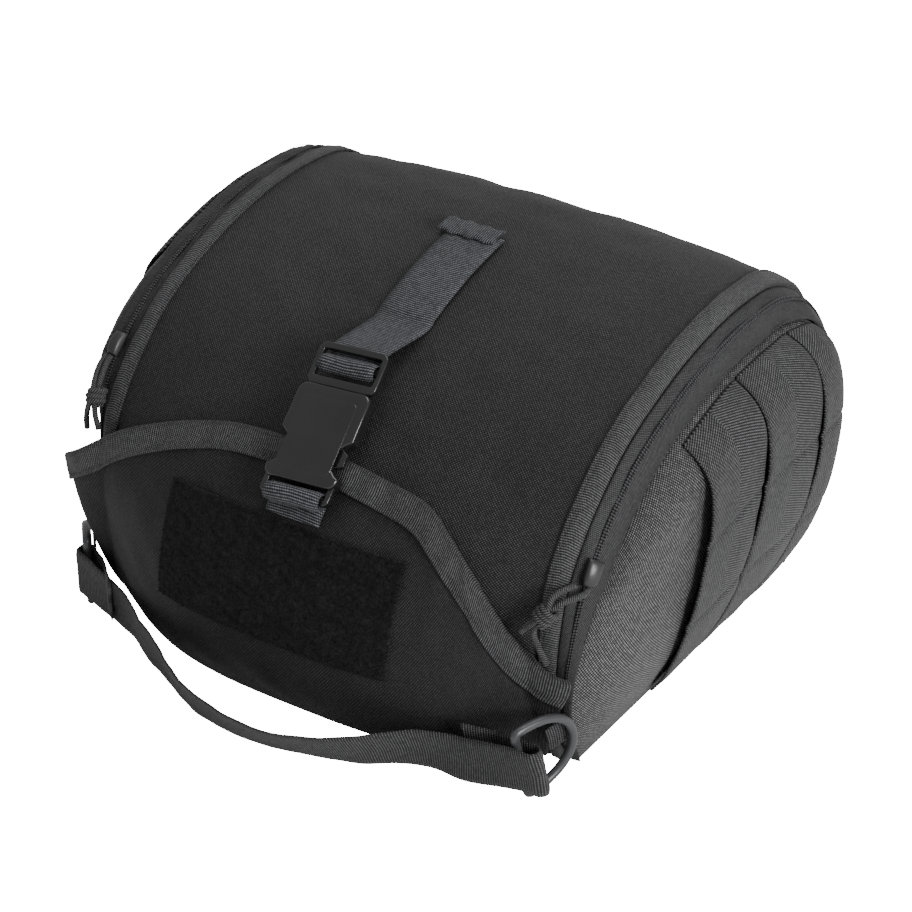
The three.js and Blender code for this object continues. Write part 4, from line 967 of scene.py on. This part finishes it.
def build_buckle():
    half, slot_half = BUCKLE_WIDTH / 2, 16.1
    rail = half - 1

    def slot(low):
        return rounded(-slot_half, low, slot_half, low + SLOT, 0.9)

    ladder = [rounded(-rail, SOCKET_TOP + 0.3, rail, BUCKLE_LENGTH / 2, 4), slot(SECOND_BAR + BAR / 2), slot(SECOND_BAR - BAR / 2 - SLOT)]
    plates = [plate(ladder, FRAME_WALL, 0.7)]
    tip = SOCKET_LOW + 9
    for side in (-1, 1):
        inner, outer, catch = side * BUCKLE_WIDTH * 0.2, side * BUCKLE_WIDTH * 0.36, side * BUCKLE_WIDTH * 0.47
        arm = [(inner, SOCKET_TOP + 1), (inner, tip + 6), (inner + side * 2, tip), (catch, tip + 3), (catch, tip + 9),
               (outer, tip + 12), (outer, SOCKET_TOP + 1)]
        plates.append(plate([arm if side > 0 else arm[::-1]], 3.1, 0.4))
    dress(moulding("buckle_prong_moulding", plates), buckle_black, "buckle_plastic", "buckle_prong")
    low, high, deep = SOCKET_LOW + 6, SOCKET_LOW + 23, 6.2
    body = rounded(-half, SOCKET_LOW - 1, half, SOCKET_TOP, 5)
    right = [(x, y) for x, y in body if x > 0]
    outline = ([p for p in right if p[1] < low] + [(half, low - 1), (half - 2, low), (half - deep, low + 3.5), (half - deep, high - 4),
                                                   (half - 3.2, high - 1), (half, high + 1)]
               + [p for p in right if p[1] > high])
    left = [(-x, y) for x, y in outline[::-1]]
    plates = [plate([outline + left], BUCKLE_WALL, 1.4), plate([rounded(-half + 5, SOCKET_LOW + 5, half - 5, SOCKET_TOP - 6, 3)], 1.2, 0.5, 3.7)]
    foot = [rounded(-rail, LOW_BAR - BAR / 2, rail, SOCKET_LOW + BAR, 3), slot(LOW_BAR + BAR / 2)]
    plates.append(plate(foot, FRAME_WALL, 0.7))
    dress(moulding("buckle_socket_moulding", plates), buckle_black, "buckle_plastic", "buckle_socket")


def build_straps():
    lie = [skin(a, 0, 1.4) for a in (0.592, 0.575, 0.555, 0.535, 0.515, 0.49, 0.465, 0.445)]
    under = -FRAME_WALL / 2 - 1.7
    bridge = [in_buckle(0, TOP_BAR + BAR, under), in_buckle(0, TOP_BAR - BAR / 2, under)]
    turn = wrap(SECOND_BAR, (-25, 0, 30, 60, 90, 120, 150, 180, 220))
    across = [np.array([1.0, 0, 0])] * len(lie) + [BUCKLE_ACROSS] * (len(bridge) + len(turn))
    obj = ribbon("strap_upper", lie + bridge + turn, across, 31, 1.6, 200, 0.15, 0.05, 71)
    dress(obj, strap_webbing, "webbing", "closure_strap")
    lie = [on_flap(a, 0.0, 1.4) for a in (0.231, 0.24, 0.248)]
    turn = wrap(LOW_BAR, (215, 180, 150, 120, 90, 60, 30, 0, -30, -50))
    across = [np.array([1.0, 0, 0])] * len(lie) + [BUCKLE_ACROSS] * len(turn)
    obj = ribbon("strap_lower", lie + turn, across, 31, 1.6, 110, 0.0, 0.03, 72)
    dress(obj, strap_webbing, "webbing", "closure_strap_lower")
    # The strap's upper end is folded over and sewn down across it
    x = np.linspace(-19.6, 12.8, 24)
    tab = [skin(0.5895 + 0.0012 * math.sin(k * 0.9), v, 2.9) for k, v in enumerate(x)]
    up_slope = skin(0.6, 0) - skin(0.58, 0)
    obj = ribbon("strap_fold", tab, [-up_slope] * len(x), 12.5, 1.7, 60, 0.2, 0.1, 73)
    dress(obj, strap_webbing, "webbing")


build_buckle()
build_straps()


# Rings, their tabs and the handle
RING = {"height": 43, "reach": 35, "wire": 4.6}
RING_PLACES = {
    "left": {"aside": 16, "ahead": 15, "z": 21.7, "turn": 42, "lean": 3, "loop": 1, "heading": 28},
    "right": {"aside": 7.5, "ahead": 33, "z": 21.6, "turn": 21, "lean": 13, "loop": 8, "heading": 0},
}
FRONT_CORNER = skin(2 / 32, TAPE_END + SEAM_GAP, SEAM_LIFT)[1]
HANDLE_WIDTH, HANDLE_WALL, HANDLE_TAIL, HANDLE_BOW = 27.5, 1.8, 30, 50
HANDLE_ROWS = (
    # across, out, rise, tilt
    (0.135, 0.25, 0.08, 97), (0.205, 0.45, 0.03, 100), (0.27, 0.6, 0.01, 104), (0.34, 0.8, 0.01, 110),
    (0.405, 0.93, 0.01, 115), (0.5, 0.98, 0.01, 122), (0.575, 0.92, 0.01, 128), (0.645, 0.79, 0.01, 127),
    (0.715, 0.61, 0.01, 121), (0.77, 0.37, 0.01, 115), (0.82, 0.2, 0.01, 107), (0.9, 0.12, 0.02, 97),
)


def ring_frame(side_name, side):
    place = RING_PLACES[side_name]
    return (Matrix.Translation(Vector((side * (HALF_WIDTH + place["aside"]), FRONT_CORNER - place["ahead"], place["z"])))
            @ Matrix.Rotation(math.radians(90 - side * place["turn"]), 4, "Z")
            @ Matrix.Rotation(math.radians(-place["lean"]), 4, "Y"))


def placed(matrix, points):
    return np.array([matrix @ Vector(p) for p in points])


def build_ring(side_name, side):
    half, reach = (RING["height"] - RING["wire"]) / 2, RING["reach"] - RING["wire"]
    straight = [(0, 0, s * half) for s in np.linspace(-0.86, 0.86, 8)]
    angle = np.radians(90 - np.arange(1, 12) * 15)
    arc = [(reach * math.cos(a) ** 0.8, 0, half * math.sin(a)) for a in angle]
    rough = np.array(straight + [(reach * 0.06, 0, half)] + arc + [(reach * 0.06, 0, -half)])
    looped = np.concatenate([rough[-2:], rough, rough[:3]])
    fine = spline(looped, np.linspace(2 / (len(looped) - 1), (len(rough) + 2) / (len(looped) - 1), 96, endpoint=False))
    obj = tube(f"ring_{side_name}", placed(ring_frame(side_name, side), fine), RING["wire"] / 2, 16, closed=True)
    dress(obj, ring_black, "ring_plastic", f"d_ring_{side_name}")
    up = np.array(ring_frame(side_name, side).to_3x3() @ Vector((0, 0, 1)))
    aside = side * (RING["wire"] / 2 + 0.6 + 0.8)
    path = placed(ring_frame(side_name, side), [(x, aside, 0) for x in np.linspace(18.5, 28.5, 6)])
    obj = ribbon(f"ring_tab_cloth_{side_name}", path, [up] * len(path), 13, 1.6, 30)
    dress(obj, handle_webbing, "webbing", f"ring_tab_{side_name}")


def handle_end(side_name, side):
    radius = RING["wire"] / 2 + 0.9 + HANDLE_WALL / 2
    frame_here, place = ring_frame(side_name, side), RING_PLACES[side_name]
    up = np.array(frame_here.to_3x3() @ Vector((0, 0, 1)))
    centre = np.array(frame_here @ Vector((0, 0, 0)))
    heading = math.radians(place["heading"])
    inward_way = np.array([-side * math.cos(heading), -math.sin(heading), 0])
    back_way = np.array([-side * math.sin(heading), math.cos(heading), 0])

    def at(inward, back):
        return centre + inward_way * inward + back_way * back

    turn = [at(-place["loop"] - radius * math.cos(math.radians(d)), radius * math.sin(math.radians(d))) for d in range(90, -91, -20)]
    points = [at(HANDLE_TAIL, -0.3), at(HANDLE_TAIL * 0.7, radius * 0.35), at(HANDLE_TAIL * 0.4, radius * 0.8), *turn, at(0, -radius)]
    return points, [up] * len(points)


def build_handle():
    bars = [np.array(ring_frame(side_name, side) @ Vector((0, 0, 0))) for side_name, side in SIDES]
    middle, middle_across = [], []
    for share, out, rise, tilt in HANDLE_ROWS:
        tilt = math.radians(tilt)
        point = bars[0] + (bars[1] - bars[0]) * share
        middle.append(np.array([point[0], point[1] - out * HANDLE_BOW,
                                rise * HANDLE_WIDTH + math.sin(tilt) * HANDLE_WIDTH / 2 + HANDLE_WALL]))
        middle_across.append(np.array([0, math.cos(tilt), math.sin(tilt)]))
    left, left_across = handle_end("left", -1)
    right, right_across = handle_end("right", 1)
    points, across = left + middle + right[::-1], left_across + middle_across + right_across[::-1]
    obj = ribbon("handle_webbing_piece", points, across, HANDLE_WIDTH, HANDLE_WALL, 420, 0.1, 0.12, 81)
    dress(obj, handle_webbing, "webbing", "handle_strap")


for side_name, side in SIDES:
    build_ring(side_name, side)
build_handle()


# Floor, lights and world: a white table in a white room
def build_stage():
    floor = mesh_object("floor", [(-4000, -4000, 0), (4000, -4000, 0), (4000, 4000, 0), (-4000, 4000, 0)], [[0, 1, 2, 3]])
    g = Graph("floor_paper")
    g.tint(g.noise(3, 2), (0.86, 0.86, 0.86), (0.9, 0.9, 0.9))
    seen = g.node("ShaderNodeLightPath").outputs["Is Camera Ray"]
    g.link(g.math("MULTIPLY", seen, FLOOR_GLOW), g.shader.inputs["Emission Strength"])
    g.shader.inputs["Emission Color"].default_value = (1, 1, 1, 1)
    floor.data.materials.append(g.finish(0.8, 0.2))
    world = bpy.data.worlds.new("studio")
    bpy.context.scene.world = world
    world.use_nodes = True
    nodes = world.node_tree.nodes
    nodes["Background"].inputs[0].default_value = (1, 1, 1, 1)
    path = nodes.new("ShaderNodeLightPath")
    strength = nodes.new("ShaderNodeMapRange")
    strength.inputs[3].default_value, strength.inputs[4].default_value = WORLD_LIGHT, WORLD_GLOW
    world.node_tree.links.new(path.outputs["Is Camera Ray"], strength.inputs[0])
    world.node_tree.links.new(strength.outputs[0], nodes["Background"].inputs[1])


def add_light(name, place, aim, size, energy):
    data = bpy.data.lights.new(name, "AREA")
    data.shape, data.size, data.energy = "SQUARE", size, energy
    obj = bpy.data.objects.new(name, data)
    obj.location = place
    obj.rotation_euler = (Vector(place) - Vector(aim)).to_track_quat("Z", "Y").to_euler()
    bpy.context.scene.collection.objects.link(obj)


FLOOR_GLOW, WORLD_LIGHT, WORLD_GLOW = 24.0, 0.55, 26.0
build_stage()
add_light("top_light", (0.2, 0.6, 1.9), (0, 0, 0.1), 1.2, 16)
add_light("side_light", (1.7, -0.5, 0.75), (0.1, 0, 0.08), 0.7, 34)

bpy.context.view_layer.update()
